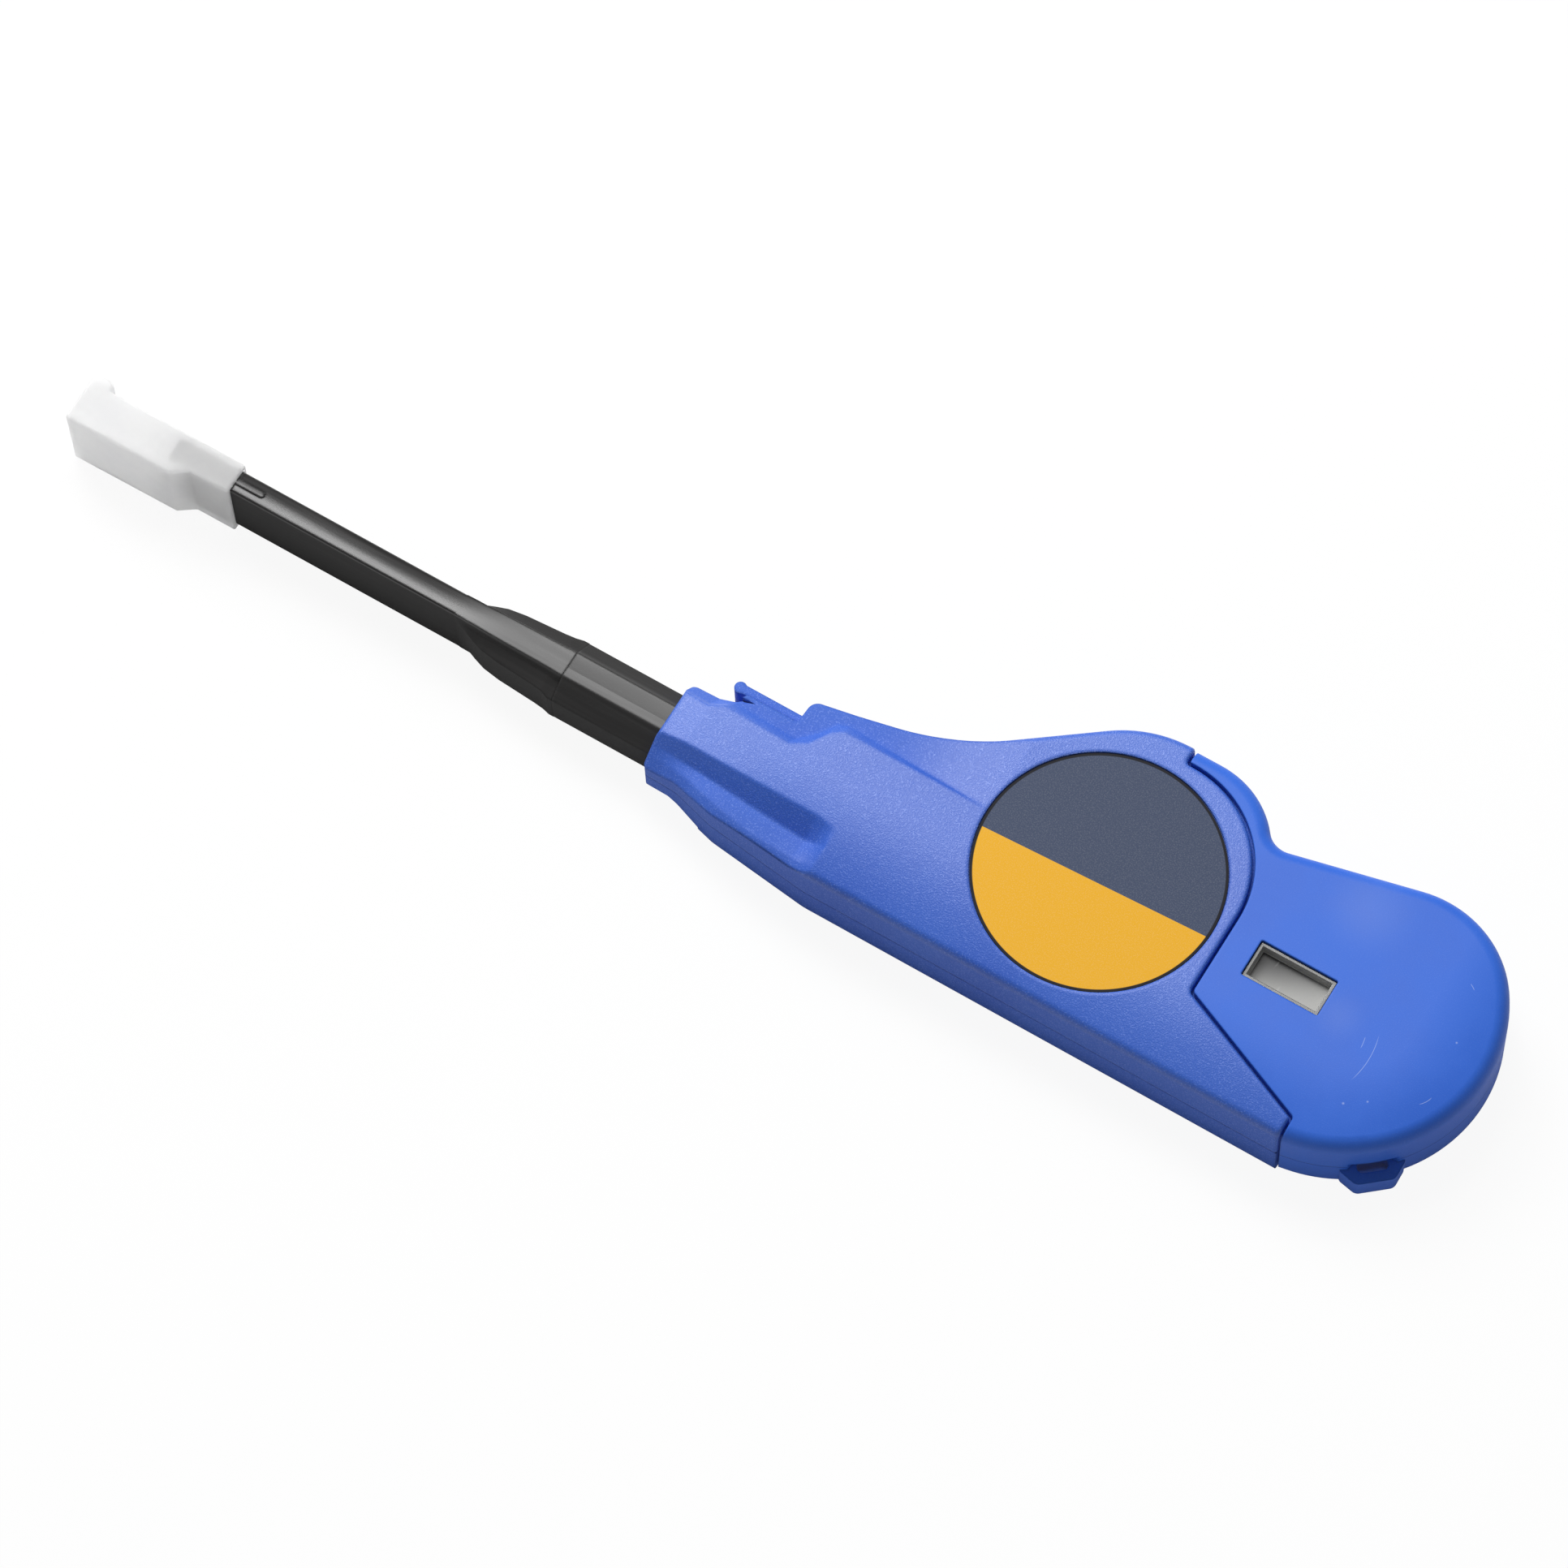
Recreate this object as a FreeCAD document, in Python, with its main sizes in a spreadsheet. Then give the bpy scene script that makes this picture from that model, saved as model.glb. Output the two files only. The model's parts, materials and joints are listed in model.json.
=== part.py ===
# Push-type tape cleaner for multi-fibre connectors.
#
# Frame: X runs along the tool, tip at -X and round tail at +X.  +Z is up from the flat
# underside (Z = 0) to the labelled face.  The origin is on the underside, below the axis of
# the take-up reel, which is also the centre of the round label.  Millimetres.
import FreeCAD, Part
import math
import os
import Sketcher
from FreeCAD import Placement, Rotation, Vector

SIZES = [
    # housing
    ("body_thick", 14.6, "whole thickness, two half shells"),
    ("wall", 1.6, "shell wall"),
    ("seam_gap", 0.5, "gap between front and rear housings"),
    ("tongue_reach", 0.7, "reach of the sealing tongue into the rear housing"),
    ("tongue_deep", 1.6, "sealing tongue below the housing face"),
    ("front_round", 1.2, "edge rounding of the front housing"),
    ("rear_round", 2.2, "edge rounding of the rear housing"),
    ("seam_break", 0.3, "broken edge along the seam"),
    ("nose_front", -70.0, "front face of the nose"),
    ("nose_half", 7.7, "half width of the nose"),
    ("nose_flat", 4.6, "half width of the flat on the nose"),
    ("nose_drop", 3.9, "height of the nose facets"),
    ("nose_facet", 4.4, "length of the nose facets along the tool"),
    ("near_side", -23.4, "straight side with the lanyard loop"),
    ("boss_top", 25.35, "crest of the round reel boss"),
    ("boss_round", 21.0, "radius of the round reel boss"),
    ("hump_front", -52.7, "front face of the hump that holds the lever"),
    ("shelf_depth", 1.8, "step from the face down to the shelf"),
    ("band_end", -19.5, "where the fading band ends"),
    ("shelf_edge", -5.9, "edge between face and shelf"),
    ("band_edge", 0.1, "edge between face and fading band"),
    ("scoop_edge", 2.5, "far edge of the finger scoop, from the shaft line"),
    ("scoop_depth", 2.4, "deepest point of the finger scoop"),
    ("scoop_end", -39.0, "rear wall of the finger scoop"),
    ("cavity_front", -37.0, "front wall of the reel chamber"),
    ("bay_front", -52.5, "front wall of the spring bay"),
    ("bay_roof", 3.6, "roof thickness over the spring bay"),
    ("tail_x", 42.0, "centre of the round tail"),
    ("tail_y", 1.5, "centre of the round tail"),
    ("tail_round", 25.0, "radius of the round tail"),
    ("tail_from", -80.0, "angle where the round tail starts"),
    ("tail_to", 30.0, "angle where the round tail ends"),
    ("seam_x", 21.9, "straight run of the seam beside the reel boss"),
    ("seam_y", 22.5, "start of the seam arc"),
    ("seam_start", 2.6, "notch of the seam at the far side"),
    ("seam_round", 18.4, "radius of the seam arc"),
    ("seam_low", -9.8, "corner where the seam turns along the tail"),
    ("seam_end", 45.0, "seam at the near side"),
    ("seam_end_y", -19.7, "corner of the seam near the near side"),
    # label and window
    ("label_radius", 19.7, "round label"),
    ("label_thick", 0.3, "round label"),
    ("label_recess", 0.5, "depth of the label recess"),
    ("label_gap", 0.15, "clearance round the label"),
    ("window_x", 33.5, "centre of the window"),
    ("window_y", -0.3, "centre of the window"),
    ("window_long", 13.3, "window opening along the tool"),
    ("window_wide", 6.5, "window opening across the tool"),
    ("window_sunk", 0.5, "window face below the housing face"),
    ("window_flange", 1.3, "flange round the window, behind the wall"),
    ("window_flange_thick", 0.9, "flange round the window"),
    ("window_gap", 0.08, "clearance round the window"),
    # lanyard loop
    ("loop_angle", -49.6, "place of the loop round the tail, degrees"),
    ("loop_out", 2.3, "how far the loop stands out"),
    ("loop_half", 3.0, "half length of the outer bar"),
    ("loop_foot", 5.0, "half length at the wall"),
    ("loop_low", 2.2, "underside of the loop"),
    ("loop_high", 6.2, "top of the loop"),
    ("eye_half", 2.4, "half length of the eye"),
    ("eye_wide", 1.7, "width of the eye"),
    ("eye_in", 1.1, "how far the eye cuts into the wall"),
    ("eye_rise", 1.2, "height of the recess over the eye"),
    # shaft
    ("shaft_y", -11.45, "centre line of the shaft"),
    ("stroke", 10.0, "travel of the shaft into the nose"),
    ("blade_wide", 3.9, "blade width"),
    ("blade_tall", 12.2, "blade height"),
    ("blade_front", -160.5, "open front end of the blade"),
    ("neck_start", -107.6, "where the neck leaves the blade"),
    ("joint_x", -87.8, "joint between sleeve and base"),
    ("neck_half", 4.75, "half width of the neck flange"),
    ("neck_side", 3.5, "half height of the neck flange"),
    ("base_half", 5.6, "half width of the eight-sided base"),
    ("base_flat", 2.2, "half width of its flat"),
    ("base_side", 3.1, "half height of its side"),
    ("shaft_gap", 0.12, "clearance round the shaft in the nose"),
    ("shaft_end", -46.4, "rear face of the base"),
    ("lug_thick", 1.6, "spring lug on the base"),
    ("lug_low", 4.2, "underside of the lug"),
    ("lug_reach", -1.5, "far edge of the lug"),
    ("channel_half", 1.25, "half width of the tape channel in the blade"),
    ("channel_low", 2.1, "floor of the tape channel"),
    ("base_channel_half", 1.7, "half width of the tape channel in the base"),
    ("spigot", 5.0, "length of the spigot into the base"),
    ("spigot_gap", 0.05, "clearance round the spigot"),
    ("rib_end", -143.9, "rear end of the raised rib on the blade"),
    ("rib_long", 12.0, "length of the raised rib"),
    ("rib_wide", 1.1, "width of the raised rib"),
    ("rib_tall", 0.25, "height of the raised rib"),
    # tip and tape
    ("guide_thick", 0.8, "plate between the two tape runs"),
    ("guide_low", 2.4, "underside of the plate"),
    ("guide_step", -66.0, "step that the tip spring pushes on"),
    ("guide_end", -50.0, "rear end of the plate"),
    ("spring_seat", -54.0, "seat of the tip spring in the base"),
    ("spring_seat_high", 3.95, "top of that seat"),
    ("head_long", 4.4, "tip head"),
    ("head_thick", 1.2, "tip head"),
    ("head_out", 1.0, "how far the head stands out of the blade"),
    ("tape_wide", 6.0, "cleaning tape"),
    ("tape_thick", 0.12, "cleaning tape"),
    ("tape_gap", 0.09, "clearance between tape and what it passes"),
    ("roller_x", -30.0, "guide rollers"),
    ("roller_radius", 1.5, "guide rollers"),
    ("roller_pin", 0.8, "pins of the guide rollers"),
    ("fit_gap", 0.05, "running clearance on pins and posts"),
    # reels and drive
    ("post_radius", 2.4, "reel posts"),
    ("post_top", 11.8, "top of the reel posts"),
    ("gear_module", 1.0, "tooth module of gear and rack"),
    ("gear_teeth", 22, "drive gear"),
    ("gear_low", 1.75, "underside of gear and rack"),
    ("gear_thick", 1.4, "gear and rack"),
    ("rack_deep", 2.2, "rack bar behind the tooth roots"),
    ("rack_end", 5.5, "rear end of the rack"),
    ("rack_teeth", 7, "teeth on the rack"),
    ("take_up_radius", 12.8, "take-up reel"),
    ("take_up_hub", 5.2, "hub of the take-up reel"),
    ("clutch_bore", 4.2, "ratchet bore of the take-up reel"),
    ("clutch_ring_out", 3.3, "clutch ring"),
    ("clutch_tall", 4.0, "clutch ring"),
    ("used_radius", 6.5, "used tape on the take-up reel"),
    ("flange_thick", 0.8, "reel flanges"),
    ("flange_gap", 0.1, "clearance between flanges and tape"),
    ("ratchet_teeth", 36, "ratchet rim of the take-up reel"),
    ("ratchet_deep", 0.7, "ratchet rim of the take-up reel"),
    ("supply_x", 45.2, "axis of the supply reel"),
    ("supply_radius", 15.8, "supply reel"),
    ("supply_hub", 5.0, "hub of the supply reel"),
    ("fresh_radius", 15.2, "fresh tape on the supply reel"),
    ("pawl_x", 8.5, "pivot of the stop pawl"),
    ("pawl_y", 15.6, "pivot of the stop pawl"),
    ("pawl_pin_radius", 0.8, "pin of the stop pawl"),
    ("pawl_eye", 1.7, "eye of the stop pawl"),
    # springs
    ("return_spring_radius", 1.9, "return spring, to the middle of the wire"),
    ("return_wire", 0.5, "return spring wire"),
    ("return_y", -3.7, "axis of the return spring"),
    ("return_seat", -22.0, "seat of the return spring in the housing"),
    ("return_turns", 8, "return spring"),
    ("tip_spring_radius", 0.65, "tip spring, to the middle of the wire"),
    ("tip_wire", 0.25, "tip spring wire"),
    ("tip_spring_high", 3.0, "height of the tip spring axis"),
    ("tip_turns", 7, "tip spring"),
    # lever
    ("lever_thick", 1.5, "lever, seen from above"),
    ("lever_y", -0.45, "middle of the lever"),
    ("lever_tall", 7.4, "lever height"),
    ("lever_front", -63.7, "centre of the round end"),
    ("lever_knob", 1.0, "radius of the round end"),
    ("lever_pivot", -49.5, "pivot of the lever"),
    ("lever_tail", -47.2, "rear end of the lever"),
    ("lever_pin_radius", 0.45, "pin of the lever"),
    ("lever_slot_half", 1.7, "half width of the slot in the hump"),
    # cap
    ("cap_wall", 0.6, "cap wall"),
    ("cap_round", 0.5, "edge rounding of the cap's top"),
    ("cap_gap", 0.12, "clearance between cap and blade"),
    ("cap_mouth", -149.0, "mouth of the cap"),
    ("cap_front", -178.0, "closed end of the cap"),
    ("cap_step", -158.7, "rear edge of the wide part"),
    ("cap_neck", -156.0, "where the shoulder meets the narrow part"),
    ("cap_side", 4.75, "near side of the wide part, from the shaft line"),
    ("cap_lip", 1.5, "how far the pull lip stands out"),
    ("cap_lip_long", 3.8, "length of the pull lip"),
    # screws
    ("screw_radius", 0.95, "screw shank"),
    ("screw_long", 7.5, "screw shank"),
    ("head_radius", 1.8, "screw head"),
    ("head_tall", 1.3, "screw head"),
    ("head_sunk", 0.6, "screw head below the underside"),
    ("boss_radius", 2.4, "screw bosses"),
]

doc = FreeCAD.newDocument("CleaningPen")
sheet = doc.addObject("Spreadsheet::Sheet", "Sizes")
for row, (alias, value, note) in enumerate(SIZES, start=1):
    sheet.set("A%d" % row, alias)
    sheet.set("B%d" % row, str(value))
    sheet.setAlias("B%d" % row, alias)
    sheet.set("C%d" % row, note)
doc.recompute()


class Dimensions:
    """The sheet's cells as plain numbers."""

    def __getattr__(self, alias):
        return float(sheet.get(alias))


dim = Dimensions()
NODES = []


# ---------------------------------------------------------------- outlines
def turn(angle):
    return Vector(math.cos(angle), math.sin(angle), 0)


def offset_corners(corners, distance, closed=True):
    """Move an outline of (x, y, radius) corners outward, to the right of its direction."""
    count = len(corners)
    lines = []
    for i in range(count if closed else count - 1):
        a, b = Vector(*corners[i][:2], 0), Vector(*corners[(i + 1) % count][:2], 0)
        along = (b - a).normalize()
        side = Vector(along.y, -along.x, 0)
        lines.append((a + side * distance, b + side * distance, along))
    moved = []
    for i in range(count):
        before = lines[i - 1] if closed or i > 0 else None
        after = lines[i] if closed or i < count - 1 else None
        if before is None:
            point, radius = after[0], 0
        elif after is None:
            point, radius = before[1], 0
        else:
            bend = before[2].cross(after[2]).z
            if abs(bend) < 1e-9:
                point = after[0]
            else:
                reach = (after[0] - before[0]).cross(after[2]).z / bend
                point = before[0] + before[2] * reach
            radius = corners[i][2] + (distance if bend > 0 else -distance)
        moved.append((point.x, point.y, max(radius, 0.0)))
    return moved


def rounded(corners, closed=True):
    """Lines and tangent arcs through (x, y, radius) corners."""
    count = len(corners)
    ends = []
    for i in range(count):
        x, y, radius = corners[i]
        here = Vector(x, y, 0)
        inner = closed or 0 < i < count - 1
        if radius < 1e-6 or not inner:
            ends.append((here, None, here))
            continue
        back = (Vector(*corners[i - 1][:2], 0) - here).normalize()
        on = (Vector(*corners[(i + 1) % count][:2], 0) - here).normalize()
        half = back.getAngle(on) / 2
        reach = radius / math.tan(half)
        bisector = (back + on).normalize()
        centre = here + bisector * (radius / math.sin(half))
        ends.append((here + back * reach, centre - bisector * radius, here + on * reach))
    shapes = []
    for i in range(count):
        start, halfway, stop = ends[i]
        if halfway is not None:
            shapes.append(Part.Arc(start, halfway, stop))
        if closed or i < count - 1:
            following = ends[(i + 1) % count][0]
            if (following - stop).Length > 1e-5:
                shapes.append(Part.LineSegment(stop, following))
    return shapes


def box_corners(x_low, x_high, y_low, y_high, radius=0.0):
    return [(x_low, y_low, radius), (x_high, y_low, radius),
            (x_high, y_high, radius), (x_low, y_high, radius)]


def circle(x, y, radius):
    return [Part.Circle(Vector(x, y, 0), Vector(0, 0, 1), radius)]


# ---------------------------------------------------------------- features
def new_body(label):
    body = doc.addObject("PartDesign::Body", label)
    body.Label = label
    NODES.append(body)
    return body


def sketch(body, shapes, level, plane="XY_Plane"):
    """A sketch on one of the body's own planes, moved along its normal by an expression."""
    item = body.newObject("Sketcher::SketchObject", body.Name + "_outline")
    origin = next(f for f in body.Origin.OriginFeatures if f.Role == plane)
    item.AttachmentSupport = (origin, [""])
    item.MapMode = "FlatFace"
    item.setExpression("AttachmentOffset.Base.z", level)
    item.addGeometry(shapes, False)
    return item


def feature(body, kind, profile, length):
    item = body.newObject("PartDesign::" + kind, body.Name + "_" + kind.lower())
    item.Profile = profile
    item.setExpression("Length", length)
    return item


def pad(body, shapes, low, high, plane="XY_Plane"):
    return feature(body, "Pad", sketch(body, shapes, low, plane), "(%s) - (%s)" % (high, low))


def cut(body, shapes, low, high, plane="XY_Plane"):
    """Remove the prism between two levels; a pocket runs against its sketch's normal."""
    return feature(body, "Pocket", sketch(body, shapes, high, plane), "(%s) - (%s)" % (high, low))


def loft(body, kind, sections):
    """Add or take away the form through sections, each an (x level, outline in y and z) pair."""
    rings = [sketch(body, rounded(corners), level, "YZ_Plane") for level, corners in sections]
    item = body.newObject("PartDesign::" + kind, body.Name + "_loft")
    item.Profile = rings[0]
    item.Sections = rings[1:]
    item.Ruled = True
    return item


def blend(body, base, edges, size, kind="Fillet"):
    """Round or chamfer the named edges of the last feature."""
    item = body.newObject("PartDesign::" + kind, body.Name + "_" + kind.lower())
    item.Base = (base, edges)
    item.setExpression("Radius" if kind == "Fillet" else "Size", size)
    return item


def edges_at(shape, height, seam=False):
    """Names of the edges at one height that lie on the seam, or those that do not."""
    names = []
    for i, edge in enumerate(shape.Edges, start=1):
        box = edge.BoundBox
        if abs(box.ZMin - height) > 1e-4 or abs(box.ZMax - height) > 1e-4:
            continue
        point = edge.valueAt((edge.FirstParameter + edge.LastParameter) / 2)
        apart = seam_wire.distToShape(Part.Vertex(point.x, point.y, 0))[0]
        if (apart < dim.seam_gap) == seam:
            names.append("Edge%d" % i)
    return names


def finish_rim(body, block, side, size, kind="Fillet", break_seam=False):
    """Round or chamfer the outer edge of a half shell, and break its edge along the seam."""
    outer = dim.body_thick if side.upper else 0.0
    doc.recompute()
    rim = blend(body, block, edges_at(block.Shape, outer, seam=False), size, kind)
    if break_seam:
        doc.recompute()
        blend(body, rim, edges_at(rim.Shape, outer, seam=True), "Sizes.seam_break", "Chamfer")


class Side:
    """Levels of one half shell, measured as depth below its own outer face."""

    def __init__(self, upper):
        self.upper = upper

    def z(self, depth):
        return "Sizes.body_thick - (%s)" % depth if self.upper else depth

    def levels(self, outer, inner):
        pair = (self.z(outer), self.z(inner))
        return (pair[1], pair[0]) if self.upper else pair

    def pad(self, body, shapes, outer, inner):
        return pad(body, shapes, *self.levels(outer, inner))

    def cut(self, body, shapes, outer, inner):
        return cut(body, shapes, *self.levels(outer, inner))

    def point(self, y, depth, radius=0.0):
        """A section corner across the shaft line, at a depth below the outer face."""
        return (dim.shaft_y + y, dim.body_thick - depth if self.upper else depth, radius)


# ---------------------------------------------------------------- shared places
MID = "Sizes.body_thick / 2"
middle = dim.body_thick / 2
near_nose = dim.shaft_y - dim.nose_half
far_nose = dim.shaft_y + dim.nose_half
seam_line = [
    (dim.seam_end, dim.near_side - 2, 0),
    (dim.seam_end, dim.seam_end_y, 0.6),
    (dim.seam_x, dim.seam_low, 1.0),
    (dim.seam_x, dim.seam_y, dim.seam_round),
    (dim.seam_start, dim.seam_y, 0.4),
    (dim.seam_start, dim.boss_top + 2, 0),
]
seam_wire = Part.Wire([shape.toShape() for shape in rounded(seam_line, closed=False)])
band_slope = 0.19
band_x, band_y = -29.8, 6.95
boss_slope = 0.75
boss_x = band_x + (dim.boss_top - band_y) / boss_slope
waist = (20.5, 17.4)


def seam_corners(offset):
    """The seam from the near side to the far side, moved into one housing."""
    moved = offset_corners(seam_line, offset, closed=False)
    moved[0] = (moved[0][0], dim.near_side, 0)
    moved[-1] = (moved[-1][0], dim.boss_top, 0)
    return moved


def tongue(clearance=0.0):
    """Plan of the lip on the front housing that closes the seam from inside."""
    front = -dim.seam_gap / 2 - 0.1
    rear = dim.seam_gap / 2 + dim.tongue_reach + clearance
    line = offset_corners(seam_line, (front + rear) / 2, closed=False)
    inset = 1.0 - clearance
    line[0] = (line[0][0], dim.near_side + inset, 0)
    line[-1] = (line[-1][0], dim.boss_top - inset, 0)
    return ribbon(line, rear - front)


def front_corners():
    nose = [
        (dim.nose_front, near_nose, 0.8),
        (dim.nose_front + 6, near_nose - 0.2, 6),
        (dim.nose_front + 13.5, near_nose - 2.2, 8),
        (dim.nose_front + 31.2, dim.near_side, 12),
    ]
    far_side = [
        (boss_x, dim.boss_top, dim.boss_round),
        (band_x, band_y, 40),
        (dim.hump_front + 0.3, band_y + band_slope * (dim.hump_front - band_x), 1.8),
        (dim.hump_front, lever_wall, 0.5),
        (dim.hump_front - 8.9, lever_wall, 0.5),
        (dim.hump_front - 10.1, far_nose + 0.4, 0.8),
        (dim.nose_front, far_nose, 0.8),
    ]
    return nose + seam_corners(-dim.seam_gap / 2) + far_side


def tail_corner(low, high, radius):
    """Corner whose arc follows the round tail between two angles."""
    low, high = math.radians(low), math.radians(high)
    reach = radius / math.cos((high - low) / 2)
    corner = Vector(dim.tail_x, dim.tail_y, 0) + turn((low + high) / 2) * reach
    return (corner.x, corner.y, radius)


def rear_corners():
    tail = tail_corner(dim.tail_from, dim.tail_to, dim.tail_round)
    seam = seam_corners(dim.seam_gap / 2)
    near_x = seam[0][0]
    lean = math.tan(math.radians(dim.tail_from + 90))
    seam[0] = (near_x, tail[1] + (near_x - tail[0]) * lean, 0)
    far_side = [(56.7, 26.04, 18), waist + (4,), (boss_x + 19.6, dim.boss_top, 15.0)]
    return [tail] + far_side + seam[::-1]


def front_chamber():
    """Inside of the front housing behind the spring bay."""
    seam = offset_corners(seam_line, -dim.seam_gap / 2 - dim.wall, closed=False)
    seam[0] = (seam[0][0], dim.near_side + dim.wall, 0)
    seam[1] = seam[1][:2] + (0,)
    seam[-1] = (seam[-1][0], dim.boss_top - dim.wall, 0)
    boss, band = offset_corners(front_outline, -dim.wall)[10:12]
    far_y = band[1] + band_slope * (dim.cavity_front - band[0])
    return ([(dim.cavity_front, dim.near_side + dim.wall, 1.5)] + seam
            + [boss[:2] + (0.75 * dim.boss_round,), band, (dim.cavity_front, far_y, 1.5)])


def rear_chamber():
    tail = tail_corner(dim.tail_from + 6, dim.tail_to, dim.tail_round - dim.wall)
    crown, neck = offset_corners(rear_outline, -dim.wall)[1:3]
    seam = offset_corners(seam_line, dim.seam_gap / 2 + dim.wall, closed=False)[1:3]
    slope = (crown[1] - neck[1]) / (crown[0] - neck[0])
    seam_wall = seam[1][0]
    near_y = tail[1] + (seam[0][0] - tail[0]) * math.tan(math.radians(dim.tail_from + 96))
    return [tail, crown, (seam_wall, neck[1] + slope * (seam_wall - neck[0]), 2.0),
            seam[1], seam[0][:2] + (1.0,), (seam[0][0], near_y, 0)]


lever_half = dim.lever_thick / 2
lever_wall = dim.lever_y - lever_half - 0.45
front_outline = front_corners()
rear_outline = rear_corners()
screws_front = [(-31.5, -19.2), (13.5, 16.0), (22.0, -18.9)]
screws_rear = [(60.0, 12.6), (50.5, -17.9)]
supply_edge = dim.fresh_radius + dim.tape_gap + dim.tape_thick / 2
used_edge = dim.used_radius + dim.tape_gap + dim.tape_thick / 2
run = dim.head_thick / 2 + dim.tape_gap + dim.tape_thick / 2
head_front = dim.blade_front - dim.head_out
roller_off = run + dim.tape_thick / 2 + dim.tape_gap + dim.roller_radius
pitch_radius = dim.gear_module * dim.gear_teeth / 2


def tangent_point(x, y, radius, from_x, from_y):
    """Where a line from a point meets a circle on its -Y side."""
    away = math.hypot(x - from_x, y - from_y)
    angle = math.atan2(y - from_y, x - from_x) - math.asin(radius / away)
    reach = math.sqrt(away ** 2 - radius ** 2)
    return from_x + reach * math.cos(angle), from_y + reach * math.sin(angle)


def ribbon(line, thickness):
    """Closed outline of a strip that follows an open line of corners."""
    right = offset_corners(line, thickness / 2, closed=False)
    left = offset_corners(line, -thickness / 2, closed=False)
    return rounded(right + left[::-1])


def eight_sides(grow=0.0):
    """Section of the shaft base, drawn as (y, z)."""
    half, flat = dim.base_half + grow, dim.base_flat + grow / 2
    tall, side = dim.blade_tall / 2 + grow, dim.base_side + grow / 2
    quarter = [(flat, -tall), (half, -side), (half, side), (flat, tall)]
    loop = quarter + [(-y, -z) for y, z in quarter]
    return [(dim.shaft_y + y, middle + z, 0.5) for y, z in loop]


def loop_frame(points):
    """Place (along, out, radius) corners on the wall of the round tail."""
    angle = math.radians(dim.loop_angle)
    out, along = turn(angle), turn(angle + math.pi / 2)
    base = Vector(dim.tail_x, dim.tail_y, 0) + out * dim.tail_round
    placed = [(base + along * t + out * n, radius) for t, n, radius in points]
    return [(p.x, p.y, radius) for p, radius in placed]


# ---------------------------------------------------------------- housings
def nose_facets(body, side):
    """Slope the edges of the nose; on the upper near side the slope runs on as the finger scoop."""
    slope = dim.nose_drop / (dim.nose_half - dim.nose_flat)
    for sign in (-1, 1):
        if side.upper and sign < 0:
            continue
        sections = []
        for level, start in (("-1", dim.nose_flat), ("Sizes.nose_facet", dim.nose_flat),
                             ("Sizes.nose_facet + 7", dim.nose_half + 0.6)):
            edge = dim.nose_half + 1.4
            sections.append(("Sizes.nose_front + " + level, [
                side.point(sign * start, -1), side.point(sign * start, 0),
                side.point(sign * edge, (edge - start) * slope), side.point(sign * edge, -1)]))
        loft(body, "SubtractiveLoft", sections)
    brow = [(dim.nose_front + dim.nose_facet + 0.4, side.point(0, 0)[1], 0),
            (dim.nose_front - 1, side.point(0, 0.4)[1], 0),
            (dim.nose_front - 1, side.point(0, -1)[1], 0),
            (dim.nose_front + dim.nose_facet + 0.4, side.point(0, -1)[1], 0)]
    cut(body, rounded(brow), "0", "Sizes.nose_half * 4", "XZ_Plane")


def finger_scoop(body, side):
    """A hollow for the finger: the nose's slope turns into a valley with a ridge on its near side."""
    edge, deep = dim.scoop_edge, dim.scoop_depth
    stations = [
        ("Sizes.nose_front - 1", edge, (4.6, 2.0), (6.4, 3.7), (9.5, 6.7)),
        ("Sizes.nose_front + 3", edge, (4.6, 2.1), (6.1, 3.0), (9.5, 5.8)),
        ("Sizes.nose_front + 8", edge, (4.8, deep), (6.9, 2.5), (9.5, 4.3)),
        ("Sizes.nose_front + 14", edge, (5.3, deep), (8.5, 2.0), (11.0, 3.0)),
        ("Sizes.nose_front + 21", edge, (5.8, deep), (9.9, 1.5), (12.5, 1.9)),
        ("Sizes.scoop_end - 2.6", edge, (6.2, deep), (10.2, 1.2), (12.8, 1.4)),
        ("Sizes.scoop_end - 1", edge + 0.2, (6.2, deep - 0.7), (10.2, 0.8), (12.8, 0.9)),
        ("Sizes.scoop_end + 1.2", edge + 0.6, (6.2, 0.02), (10.2, 0.01), (12.8, 0.02)),
    ]
    sections = []
    for level, top, valley, ridge, rim in stations:
        sections.append((level, [
            side.point(-top, -2), side.point(-top, 0), side.point(-valley[0], valley[1]),
            side.point(-ridge[0], ridge[1]), side.point(-rim[0], rim[1]), side.point(-rim[0], -2)]))
    loft(body, "SubtractiveLoft", sections)


def shelf(body, side):
    """The lower shelf beside the lever; its floor rises along the far side until it fades out."""
    low, high, deep = dim.shelf_edge, dim.band_edge, dim.shelf_depth
    stations = [
        ("Sizes.nose_front + 3", low + 0.4, 0.02, 1.0),
        ("Sizes.nose_front + 5", low + 0.4, deep, 1.0),
        ("Sizes.nose_front + 18.5", low, deep, 1.0),
        ("Sizes.nose_front + 21", low + 1.4, deep, 1.6),
        ("Sizes.nose_front + 23", high - 1.4, deep, 1.5),
        ("Sizes.nose_front + 24.8", high, deep, 1.0),
        ("Sizes.band_end", high, 0.02, 1.0),
    ]
    sections = []
    for level, edge, depth, lean in stations:
        top = edge - dim.shaft_y
        sections.append((level, [
            side.point(top - 1, -1), side.point(top, 0), side.point(top + depth * lean, depth),
            side.point(40, depth), side.point(40, -1)]))
    loft(body, "SubtractiveLoft", sections)


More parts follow.
